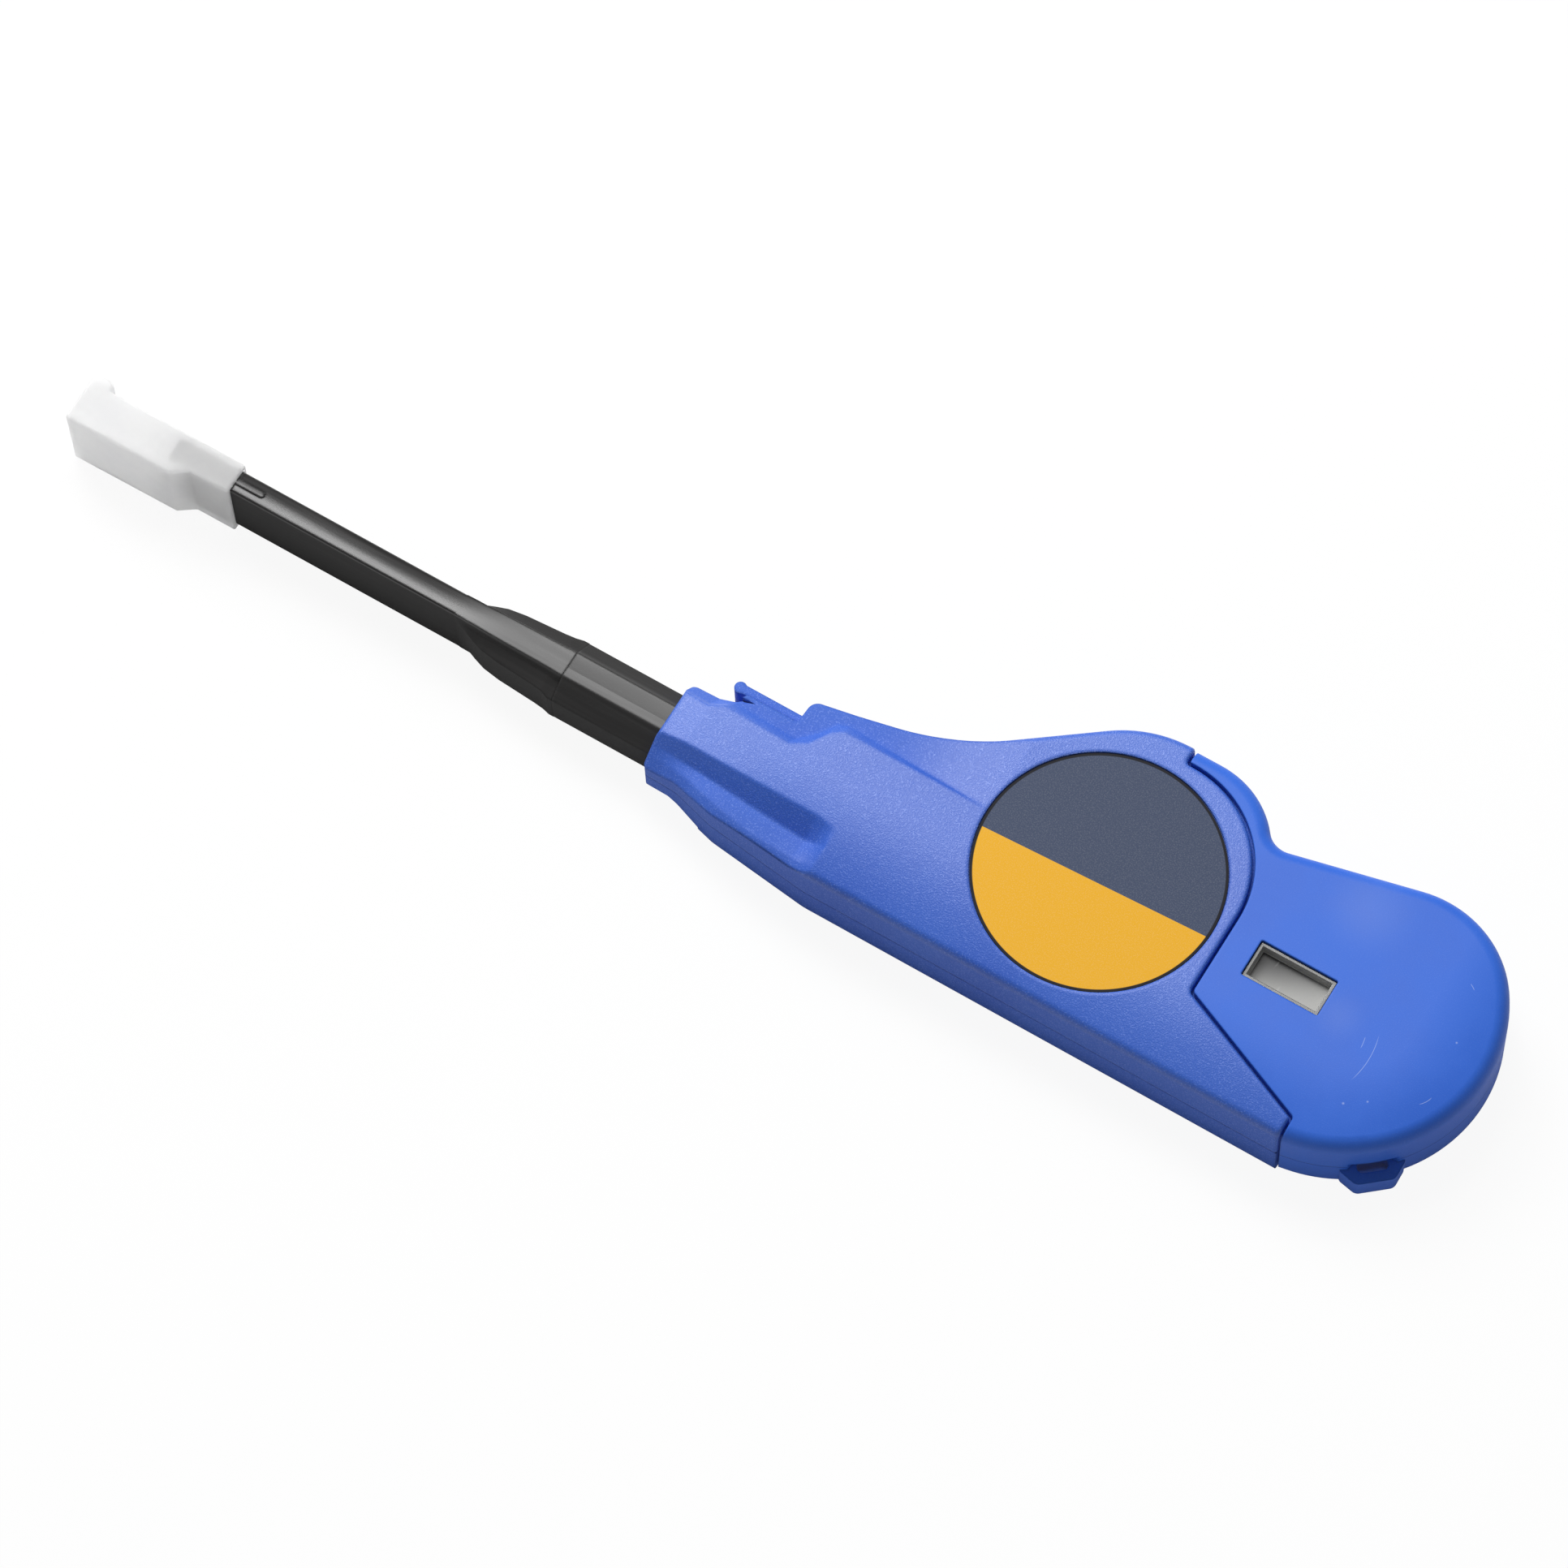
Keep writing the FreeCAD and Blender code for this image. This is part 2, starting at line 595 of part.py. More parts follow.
def front_shell(label, upper):
    side = Side(upper)
    body = new_body(label)
    block = side.pad(body, rounded(front_outline), "0", MID)
    finish_rim(body, block, side, "Sizes.front_round", break_seam=upper)
    side.pad(body, tongue(), "Sizes.tongue_deep", MID)
    shelf(body, side)
    nose_facets(body, side)
    if upper:
        finger_scoop(body, side)
        side.cut(body, circle(0, 0, dim.label_radius + dim.label_gap), "-1", "Sizes.label_recess")
    hollow_front(body, side)
    return body


def hollow_front(body, side):
    side.cut(body, rounded(front_chamber()), "Sizes.wall", MID)
    bay = box_corners(dim.bay_front, dim.cavity_front + 1, dim.shaft_y - dim.base_half - 0.6, 1.0, 0.4)
    side.cut(body, rounded(bay), "Sizes.bay_roof", MID)
    cut(body, rounded(eight_sides(dim.shaft_gap)), "Sizes.nose_front - 1",
        "Sizes.shaft_end + Sizes.stroke + 0.5", "YZ_Plane")
    slot = box_corners(dim.hump_front - 1, dim.lever_tail + 0.6, dim.lever_y - dim.lever_slot_half,
                       dim.lever_y + dim.lever_slot_half)
    side.cut(body, rounded(slot), "Sizes.body_thick / 2 - Sizes.lever_tall / 2 - 0.3", MID)
    tape_slot = box_corners(26.0, 41.0, -15.3, -13.1)
    side.cut(body, rounded(tape_slot), "Sizes.bay_roof", MID)
    side.cut(body, circle(dim.lever_pivot, dim.lever_y, dim.lever_pin_radius + 0.02),
             "Sizes.shelf_depth + 0.8", MID)
    if side.upper:
        guides = [(dim.roller_x, dim.shaft_y - roller_off), (dim.roller_x, dim.shaft_y + roller_off)]
        for x, y in guides:
            pad(body, circle(x, y, dim.roller_pin), "Sizes.body_thick / 2 - Sizes.tape_wide / 2",
                "Sizes.body_thick - Sizes.wall")
    else:
        lane = box_corners(dim.shaft_end - 3, dim.cavity_front + 1, dim.shaft_y - 3.4, dim.shaft_y + 3.4)
        side.cut(body, rounded(lane), "Sizes.gear_low - 0.25", MID)
        seat = box_corners(dim.return_seat, dim.return_seat + dim.wall, dim.return_y - 2.6,
                           dim.return_y + 3.2)
        side.pad(body, rounded(seat), "Sizes.wall", "Sizes.body_thick / 2 + 2.6")
        pad(body, circle(dim.pawl_x, dim.pawl_y, 2.0), "Sizes.wall", "Sizes.wall + 1.5")
        side.cut(body, circle(dim.pawl_x, dim.pawl_y, dim.pawl_pin_radius + 0.02),
                 "Sizes.wall + 0.15", "Sizes.wall + 2")
    screw_bosses(body, side, screws_front)
    reel_post(body, side, 0.0, 0.0)


def screw_bosses(body, side, places):
    for x, y in places:
        side.pad(body, circle(x, y, dim.boss_radius), "Sizes.wall", MID)
    for x, y in places:
        if side.upper:
            side.cut(body, circle(x, y, dim.screw_radius + 0.02), "Sizes.wall + 0.6", MID)
        else:
            side.cut(body, circle(x, y, dim.screw_radius + 0.15), "0", MID)
            side.cut(body, circle(x, y, dim.head_radius + 0.2), "-1",
                     "Sizes.head_sunk + Sizes.head_tall")


def reel_post(body, side, x, y):
    """Post on the lower shell; a socket in the upper shell takes its top."""
    if not side.upper:
        pad(body, circle(x, y, dim.post_radius), "Sizes.wall", "Sizes.post_top")
        return
    pad(body, circle(x, y, dim.post_radius + 0.8), "Sizes.post_top - 0.4",
        "Sizes.body_thick - Sizes.wall")
    cut(body, circle(x, y, dim.post_radius + dim.fit_gap), "Sizes.post_top - 1",
        "Sizes.post_top + 0.3")


def rear_shell(label, upper):
    side = Side(upper)
    body = new_body(label)
    block = side.pad(body, rounded(rear_outline), "0", MID)
    finish_rim(body, block, side, "Sizes.rear_round", "Fillet" if upper else "Chamfer")
    if not upper:
        foot, half = dim.loop_foot, dim.loop_half
        bar = [(-foot, -1.5, 0), (-foot, -0.2, 1), (-half, dim.loop_out, 1.4),
               (half, dim.loop_out, 1.4), (foot, -0.2, 1), (foot, -1.5, 0)]
        pad(body, rounded(loop_frame(bar)[::-1]), "Sizes.loop_low", "Sizes.loop_high")
    side.cut(body, rounded(rear_chamber()), "Sizes.wall", MID)
    side.cut(body, tongue(0.1), "Sizes.tongue_deep - 0.1", MID)
    eye = [(-dim.eye_half, -dim.eye_in, 0.6), (dim.eye_half, -dim.eye_in, 0.6),
           (dim.eye_half, dim.eye_wide - dim.eye_in, 0.9), (-dim.eye_half, dim.eye_wide - dim.eye_in, 0.9)]
    if not upper:
        cut(body, rounded(loop_frame(eye)), "-1", MID)
    foot, edge = dim.loop_foot - 0.6, dim.eye_half + 0.5
    hollow = [(-foot, 1.5, 0), (-foot, 0.1, 0), (-edge, -dim.eye_in, 0.8),
              (edge, -dim.eye_in, 0.8), (foot, 0.1, 0), (foot, 1.5, 0)]
    if upper:
        cut(body, rounded(loop_frame(hollow)), MID, MID + " + Sizes.eye_rise")
    else:
        cut(body, rounded(loop_frame(hollow)), "Sizes.loop_high", MID)
    if upper:
        cut(body, window_corners(0.0), "Sizes.body_thick / 2", "Sizes.body_thick + 1")
    tape_slot = box_corners(26.0, 41.0, -15.3, -13.1)
    side.cut(body, rounded(tape_slot), "Sizes.bay_roof", MID)
    screw_bosses(body, side, screws_rear)
    if not upper:
        collar = "Sizes.body_thick / 2 - Sizes.tape_wide / 2 - Sizes.flange_thick - 0.2"
        pad(body, circle(dim.supply_x, 0, dim.post_radius + 1.4), "Sizes.wall", collar)
    reel_post(body, side, dim.supply_x, 0.0)
    return body


def window_corners(grow, radius=0.3):
    long, wide = dim.window_long / 2 + grow, dim.window_wide / 2 + grow
    return rounded(box_corners(dim.window_x - long, dim.window_x + long,
                               dim.window_y - wide, dim.window_y + wide, radius))


def window():
    body = new_body("inspection_window")
    under = "Sizes.body_thick - Sizes.wall"
    pad(body, window_corners(dim.window_flange), under + " - Sizes.window_flange_thick", under)
    pad(body, window_corners(-dim.window_gap), under + " - Sizes.window_flange_thick",
        "Sizes.body_thick - Sizes.window_sunk")
    cut(body, window_corners(-1.0), under + " - Sizes.window_flange_thick - 1",
        "Sizes.body_thick - Sizes.window_sunk - 1")


def label():
    body = new_body("round_label")
    floor = "Sizes.body_thick - Sizes.label_recess"
    pad(body, circle(0, 0, dim.label_radius), floor, floor + " + Sizes.label_thick")


def screws():
    """All housing screws: a round head and a plain shank each."""
    solids = []
    for x, y in screws_front + screws_rear:
        head = Part.makeCylinder(dim.head_radius, dim.head_tall, Vector(x, y, dim.head_sunk))
        top = dim.head_sunk + dim.head_tall
        shank = Part.makeCylinder(dim.screw_radius, dim.screw_long, Vector(x, y, top))
        solids.append(head.fuse(shank))
    return plain("housing_screws", Part.makeCompound(solids))


def plain(label_text, shape):
    item = doc.addObject("Part::Feature", label_text)
    item.Label = label_text
    item.Shape = shape
    NODES.append(item)
    return item


# ---------------------------------------------------------------- shaft
def section(y_half, z_half, strip):
    """A neck section: a narrow strip at full height and a wider, lower flange."""
    tall = dim.blade_tall / 2
    foot = strip + 0.05 + 0.22 * (y_half - strip)
    knee = tall - 0.1 - 0.45 * (tall - z_half)
    quarter = [(strip, -tall), (foot, -knee), (y_half, -z_half),
               (y_half, z_half), (foot, knee), (strip, tall)]
    loop = quarter + [(-y, -z) for y, z in quarter]
    return [(dim.shaft_y + y, middle + z, 0.0) for y, z in loop]


def shaft_sleeve():
    """Slim blade that flares into the neck; hollow for the tape."""
    body = new_body("shaft_sleeve")
    half, tall = dim.blade_wide / 2, dim.blade_tall / 2
    blade = box_corners(dim.shaft_y - half, dim.shaft_y + half, middle - tall, middle + tall, 0.35)
    pad(body, rounded(blade), "Sizes.blade_front", "Sizes.neck_start + 0.5", "YZ_Plane")
    stations = [
        ("Sizes.neck_start", half - 0.05, 3.6, half - 0.05),
        ("Sizes.neck_start + 2", half + 0.6, 3.5, half),
        ("Sizes.neck_start + 4", half + 1.45, 3.4, half),
        ("Sizes.neck_start + 6", half + 2.1, dim.neck_side, half + 0.05),
        ("Sizes.neck_start + 9", dim.neck_half - 0.25, dim.neck_side, half + 0.1),
        ("Sizes.joint_x - 4", dim.neck_half + 0.2, dim.neck_side, half + 0.15),
        ("Sizes.joint_x - 2.2", dim.neck_half + 0.4, dim.neck_side, half + 0.18),
        ("Sizes.joint_x - 0.9", dim.base_half, dim.base_side, dim.base_flat),
        ("Sizes.joint_x", dim.base_half, dim.base_side, dim.base_flat),
    ]
    loft(body, "AdditiveLoft", [(level, section(y_half, z_half, strip))
                                for level, y_half, z_half, strip in stations])
    snug = dim.base_channel_half - dim.spigot_gap
    low = dim.channel_low - middle
    spigot = box_corners(dim.shaft_y - snug, dim.shaft_y + snug,
                         middle + low + dim.spigot_gap, middle - low - dim.spigot_gap)
    pad(body, rounded(spigot), "Sizes.joint_x", "Sizes.joint_x + Sizes.spigot", "YZ_Plane")
    channel = box_corners(dim.shaft_y - dim.channel_half, dim.shaft_y + dim.channel_half,
                          dim.channel_low + 0.4, dim.body_thick - dim.channel_low - 0.4)
    cut(body, rounded(channel), "Sizes.blade_front - 1",
        "Sizes.joint_x + Sizes.spigot + 1", "YZ_Plane")
    rib = box_corners(dim.rib_end - dim.rib_long, dim.rib_end, dim.shaft_y - dim.rib_wide / 2,
                      dim.shaft_y + dim.rib_wide / 2, dim.rib_wide / 2 - 0.01)
    crest = "Sizes.body_thick / 2 + Sizes.blade_tall / 2"
    pad(body, rounded(rib), crest + " - 0.1", crest + " + Sizes.rib_tall")


def shaft_base():
    """Eight-sided rear section that slides in the nose, with the spring lug on its end."""
    body = new_body("shaft_base")
    pad(body, rounded(eight_sides()), "Sizes.joint_x", "Sizes.shaft_end", "YZ_Plane")
    lug = box_corners(dim.shaft_y - dim.base_half, dim.lug_reach, dim.lug_low,
                      dim.body_thick - dim.lug_low, 0.4)
    pad(body, rounded(lug), "Sizes.shaft_end - Sizes.lug_thick", "Sizes.shaft_end", "YZ_Plane")
    half = dim.base_channel_half
    high = dim.body_thick - dim.channel_low
    whole = box_corners(dim.shaft_y - half, dim.shaft_y + half, dim.spring_seat_high, high)
    cut(body, rounded(whole), "Sizes.joint_x - 1", "Sizes.shaft_end + 1", "YZ_Plane")
    front = box_corners(dim.shaft_y - half, dim.shaft_y + half, dim.channel_low, dim.spring_seat_high + 1)
    cut(body, rounded(front), "Sizes.joint_x - 1", "Sizes.spring_seat", "YZ_Plane")


def drive_rack():
    """Toothed bar that turns the drive gear as the shaft slides."""
    body = new_body("drive_rack")
    module = dim.gear_module
    pitch = math.pi * module
    pitch_y = -pitch_radius
    root_y = pitch_y - 1.25 * module
    tip_y = pitch_y + module - 0.1
    back_y = root_y - dim.rack_deep
    slope = math.tan(math.radians(20))
    half_root = pitch / 4 + 1.25 * module * slope - 0.05
    half_tip = pitch / 4 - (module - 0.1) * slope - 0.05
    teeth = []
    for i in range(int(dim.rack_teeth)):
        centre = dim.rack_end - 2.9 - (i + 0.5) * pitch
        centre = (round(centre / pitch - 0.5) + 0.5) * pitch
        teeth += [(centre + half_root, root_y, 0), (centre + half_tip, tip_y, 0),
                  (centre - half_tip, tip_y, 0), (centre - half_root, root_y, 0)]
    outline = [(dim.shaft_end, back_y, 0), (dim.rack_end, back_y, 0), (dim.rack_end, root_y, 0)]
    outline += teeth + [(dim.shaft_end, root_y, 0)]
    pad(body, rounded(outline), "Sizes.gear_low", "Sizes.gear_low + Sizes.gear_thick")
    foot = box_corners(dim.shaft_end, dim.shaft_end + 2, back_y, dim.shaft_y + 1.8)
    pad(body, rounded(foot), "Sizes.gear_low", "Sizes.spring_seat_high")


# ---------------------------------------------------------------- tip and tape
def tape_guide():
    body = new_body("tape_guide")
    half = dim.guide_thick / 2
    top = "Sizes.body_thick - Sizes.guide_low - 0.3"
    plate = box_corners(head_front + dim.head_long, dim.guide_end, dim.shaft_y - half, dim.shaft_y + half)
    pad(body, rounded(plate), "Sizes.spring_seat_high + 0.2", top)
    foot = box_corners(head_front + dim.head_long, dim.guide_step, dim.shaft_y - half, dim.shaft_y + half)
    pad(body, rounded(foot), "Sizes.guide_low + 0.3", "Sizes.spring_seat_high + 0.3")


def tip_head():
    """Rounded nose that presses the tape on the ferrule."""
    body = new_body("tip_head")
    half = dim.head_thick / 2
    back = head_front + dim.head_long
    nose = [(head_front, dim.shaft_y - half, half - 0.01), (back, dim.shaft_y - half, 0),
            (back, dim.shaft_y + half, 0), (head_front, dim.shaft_y + half, half - 0.01)]
    pad(body, rounded(nose), "Sizes.body_thick / 2 - Sizes.tape_wide / 2 - 0.5",
        "Sizes.body_thick / 2 + Sizes.tape_wide / 2 + 0.5")


def cleaning_tape():
    """One strip from the fresh roll, round the tip head and back to the used roll."""
    body = new_body("cleaning_tape")
    near, far = dim.shaft_y - run, dim.shaft_y + run
    fresh_x, fresh_y = tangent_point(dim.supply_x, 0, supply_edge, dim.roller_x, near)
    used_x, used_y = tangent_point(0, 0, used_edge, dim.roller_x, far)
    nose_x = head_front - dim.tape_gap - dim.tape_thick / 2
    line = [(fresh_x, fresh_y, 0), (dim.roller_x, near, 20), (nose_x, near, run - 0.01),
            (nose_x, far, run - 0.01), (dim.roller_x, far, 20), (used_x, used_y, 0)]
    pad(body, ribbon(line, dim.tape_thick), "Sizes.body_thick / 2 - Sizes.tape_wide / 2",
        "Sizes.body_thick / 2 + Sizes.tape_wide / 2")


def guide_roller(name, y):
    body = new_body(name)
    ring = circle(dim.roller_x, y, dim.roller_radius) + circle(dim.roller_x, y, dim.roller_pin + dim.fit_gap)
    pad(body, ring, MID + " - Sizes.tape_wide / 2", MID + " + Sizes.tape_wide / 2")


# ---------------------------------------------------------------- drive and reels
def gear_outline():
    """Involute teeth; a tooth space faces the rack."""
    module, teeth = dim.gear_module, int(dim.gear_teeth)
    base = pitch_radius * math.cos(math.radians(20))
    root, tip = pitch_radius - 1.25 * module, pitch_radius + module - 0.1

    def roll(radius):
        if radius <= base:
            return 0.0
        ratio = math.acos(base / radius)
        return math.tan(ratio) - ratio

    radii = [root, base + 0.15, pitch_radius, (pitch_radius + tip) / 2, tip]
    half_pitch = math.pi / (2 * teeth) - 0.05 / pitch_radius
    points = []
    for i in range(teeth):
        centre = 2 * math.pi * (i + 0.0) / teeth - math.pi / 2
        flank = [(r, half_pitch + roll(pitch_radius) - roll(r)) for r in radii]
        for r, half in flank:
            points.append((r, centre - half))
        for r, half in reversed(flank):
            points.append((r, centre + half))
    return [(r * math.cos(a), r * math.sin(a), 0) for r, a in points]


def drive_gear():
    body = new_body("drive_gear")
    shapes = rounded(gear_outline()) + circle(0, 0, dim.post_radius + dim.fit_gap)
    pad(body, shapes, "Sizes.gear_low", "Sizes.gear_low + Sizes.gear_thick")


def clutch_ring():
    """Ring with three stiff tongues that push the reel round one way."""
    body = new_body("clutch_ring")
    corners = []
    for i in range(3):
        angle = 2 * math.pi * i / 3
        for radius, lead in ((dim.clutch_ring_out, 0.15), (dim.clutch_ring_out, 1.0),
                             (dim.clutch_ring_out, 1.85), (dim.clutch_bore - 0.75, 2.0),
                             (dim.clutch_bore - 0.75, 2.15)):
            corners.append((radius * math.cos(angle + lead), radius * math.sin(angle + lead), 0))
    shapes = rounded(corners) + circle(0, 0, dim.post_radius + dim.fit_gap)
    low = "Sizes.gear_low + Sizes.gear_thick"
    pad(body, shapes, low, low + " + Sizes.clutch_tall")


def saw_teeth(count, inner, outer):
    """Ratchet outline: each tooth rises slowly and drops at once."""
    corners = []
    for i in range(int(count)):
        angle = 2 * math.pi * i / count
        corners.append((outer * math.cos(angle), outer * math.sin(angle), 0))
        later = angle + 2 * math.pi / count * 0.12
        corners.append((inner * math.cos(later), inner * math.sin(later), 0))
    return corners


def reel(name, x, hub, flange_shapes, top_radius, bore_shapes, bore_top):
    """Two flanges on a hub, bored for the post."""
    body = new_body(name)
    low = "Sizes.body_thick / 2 - Sizes.tape_wide / 2 - Sizes.flange_gap"
    high = "Sizes.body_thick / 2 + Sizes.tape_wide / 2 + Sizes.flange_gap"
    pad(body, flange_shapes, low + " - Sizes.flange_thick", low)
    pad(body, circle(x, 0, hub), low + " - Sizes.flange_thick", high)
    pad(body, circle(x, 0, top_radius), high, high + " + Sizes.flange_thick")
    cut(body, circle(x, 0, dim.post_radius + dim.fit_gap), "Sizes.wall", "Sizes.post_top + 1")
    if bore_shapes:
        cut(body, bore_shapes, "Sizes.wall", bore_top)


def tape_roll(name, x, inner, outer):
    body = new_body(name)
    pad(body, circle(x, 0, outer) + circle(x, 0, inner),
        "Sizes.body_thick / 2 - Sizes.tape_wide / 2", "Sizes.body_thick / 2 + Sizes.tape_wide / 2")


def stop_pawl():
    """Pawl that lets the take-up reel turn one way only, with its own spring tail."""
    body = new_body("stop_pawl")
    angle = math.radians(103)
    radius = dim.take_up_radius + 0.12
    tip = (radius * math.cos(angle), radius * math.sin(angle))
    x, y, eye = dim.pawl_x, dim.pawl_y, dim.pawl_eye
    corners = [(tip[0], tip[1], 0.1), (tip[0] + 1.6, tip[1] + 0.15, 0.5), (x - 1.2, y - eye, 1.0),
               (x + eye, y - eye, 1.5), (x + eye, y + eye, 1.5), (x - 1.6, y + eye - 0.2, 0.4),
               (x - 6.6, y + 3.7, 0.2), (x - 6.8, y + 3.2, 0.1), (x - 2.6, y + 0.4, 1.2)]
    shapes = rounded(corners) + circle(x, y, dim.pawl_pin_radius + dim.fit_gap)
    low = "Sizes.wall + 1.6"
    pad(body, shapes, low, low + " + 1")


def pin(name, x, y, radius, low, high):
    body = new_body(name)
    pad(body, circle(x, y, radius), low, high)


# ---------------------------------------------------------------- springs
def coil_spring(name, start, end, y, z, radius, wire, turns):
    """Coil along X between two seats, of square wire in short straight runs."""
    gap = 0.05
    first, last = start + gap + wire / 2, end - gap - wire / 2
    steps = int(turns * 8)
    path = []
    for i in range(steps + 1):
        angle = math.pi * i / 4
        along = first + (last - first) * i / steps
        path.append(Vector(along, y + radius * math.cos(angle), z + radius * math.sin(angle)))
    half = wire / 2
    corners = [(-half, -half), (half, -half), (half, half), (-half, half), (-half, -half)]
    begin = path[1] - path[0]
    across = begin.cross(Vector(1, 0, 0)).normalize()
    upright = across.cross(begin).normalize()
    section = Part.makePolygon([path[0] + across * a + upright * b for a, b in corners])
    coil = Part.makePolygon(path).makePipeShell([section], True, False, 1)
    plain(name, coil)


# ---------------------------------------------------------------- lever and cap
def release_lever():
    """Slim lever with a round finger end, hinged inside the hump."""
    body = new_body("release_lever")
    low = "Sizes.body_thick / 2 - Sizes.lever_tall / 2"
    high = "Sizes.body_thick / 2 + Sizes.lever_tall / 2"
    y_low, y_high = dim.lever_y - lever_half, dim.lever_y + lever_half
    bar = box_corners(dim.lever_front, dim.lever_tail, y_low, y_high, 0.3)
    pad(body, rounded(bar), low, high)
    pad(body, circle(dim.lever_front, dim.lever_y, dim.lever_knob), low, high)
    pad(body, circle(dim.lever_pivot, dim.lever_y, dim.lever_knob), low, high)
    cut(body, circle(dim.lever_pivot, dim.lever_y, dim.lever_pin_radius + dim.fit_gap),
        "0", "Sizes.body_thick")


def dust_cap():
    """Frosted cap: a wide closed end, a slanted shoulder and a narrow sleeve on the blade."""
    body = new_body("dust_cap")
    inner = dim.blade_wide / 2 + dim.cap_gap
    outer = inner + dim.cap_wall
    low_in = middle - dim.blade_tall / 2 - dim.cap_gap
    high_in = middle + dim.blade_tall / 2 + dim.rib_tall + dim.cap_gap
    y = dim.shaft_y
    plan = [(dim.cap_front, y - dim.cap_side, 0.5), (dim.cap_step, y - dim.cap_side + 0.2, 0.6),
            (dim.cap_neck, y - outer, 0.8), (dim.cap_mouth, y - outer, 0.3),
            (dim.cap_mouth, y + outer, 0.3), (dim.cap_front + dim.cap_lip_long, y + outer, 0.3),
            (dim.cap_front + dim.cap_lip_long - 0.3, y + outer + dim.cap_lip, 0.9),
            (dim.cap_front, y + outer + dim.cap_lip, 0.4)]
    top = high_in + dim.cap_wall
    block = pad(body, rounded(plan), "%.4f" % (low_in - dim.cap_wall), "%.4f" % top)
    doc.recompute()
    blend(body, block, edges_at(block.Shape, top), "Sizes.cap_round")
    cut(body, rounded(box_corners(y - inner, y + inner, low_in, high_in)),
        "Sizes.cap_front + Sizes.cap_wall + 0.3", "Sizes.cap_mouth + 1", "YZ_Plane")
    room = [(dim.cap_front + dim.cap_wall + 0.3, y - dim.cap_side + dim.cap_wall, 0.3),
            (dim.cap_step - 0.6, y - dim.cap_side + dim.cap_wall + 0.2, 0.3),
            (dim.cap_neck - 0.6, y - inner + 0.1, 0.3),
            (dim.cap_front + dim.cap_wall + 0.3, y - inner + 0.1, 0.3)]
    cut(body, rounded(room), "%.4f" % (low_in + 0.2), "%.4f" % (high_in - 0.2))


# ---------------------------------------------------------------- assembly
front_shell("front_shell_lower", upper=False)
front_shell("front_shell_upper", upper=True)
rear_shell("rear_shell_lower", upper=False)
rear_shell("rear_shell_upper", upper=True)
window()
label()
screws()
shaft_sleeve()
shaft_base()
drive_rack()
tape_guide()
tip_head()
cleaning_tape()
guide_roller("supply_roller", dim.shaft_y - roller_off)
guide_roller("return_roller", dim.shaft_y + roller_off)
drive_gear()
clutch_ring()
reel("take_up_reel", 0, dim.take_up_hub,
     rounded(saw_teeth(dim.ratchet_teeth, dim.take_up_radius - dim.ratchet_deep, dim.take_up_radius)),
     dim.take_up_radius, rounded(saw_teeth(9, dim.clutch_bore - 0.5, dim.clutch_bore)),
     "Sizes.gear_low + Sizes.gear_thick + Sizes.clutch_tall + 0.2")
reel("supply_reel", dim.supply_x, dim.supply_hub, circle(dim.supply_x, 0, dim.supply_radius),
     dim.supply_radius, None, None)
tape_roll("used_tape_roll", 0, dim.take_up_hub, dim.used_radius)
tape_roll("fresh_tape_roll", dim.supply_x, dim.supply_hub, dim.fresh_radius)
stop_pawl()
pin("pawl_pin", dim.pawl_x, dim.pawl_y, dim.pawl_pin_radius, "Sizes.wall + 0.2", "Sizes.wall + 3.4")
release_lever()
pin("lever_pin", dim.lever_pivot, dim.lever_y, dim.lever_pin_radius,
    "Sizes.shelf_depth + 0.85", "Sizes.body_thick - Sizes.shelf_depth - 0.85")
coil_spring("return_spring", dim.shaft_end, dim.return_seat, dim.return_y, middle,
            dim.return_spring_radius, dim.return_wire, dim.return_turns)
coil_spring("tip_spring", dim.guide_step, dim.spring_seat, dim.shaft_y, dim.tip_spring_high,
            dim.tip_spring_radius, dim.tip_wire, dim.tip_turns)
dust_cap()
doc.recompute()


# ---------------------------------------------------------------- checks and export
for item in doc.Objects:
    if "Invalid" in item.State or "Error" in item.State:
        raise RuntimeError("%s failed: %s" % (item.Label, item.State))
os.makedirs("parts", exist_ok=True)
for item in NODES:
    shape = item.Shape
    if shape.isNull() or not shape.isValid() or shape.Volume <= 0:
        raise RuntimeError("%s has no valid shape" % item.Label)
    shape.exportStep("parts/%s.step" % item.Label)
    print("%-18s %d solid(s) %9.1f mm3" % (item.Label, len(shape.Solids), shape.Volume))
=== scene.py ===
# %% [markdown]
# Cleaning pen for fibre connectors.
# The housing, shaft and mechanism arrive as a imported frame, already in place, in metres.
# This lesson sets the camera, dresses every piece with a finish made from shader nodes, gives
# the tape and the springs smooth-shaded copies, and lights it all on a white table.

# %% Load the frame
import json
import math
import bpy
from mathutils import Matrix, Vector

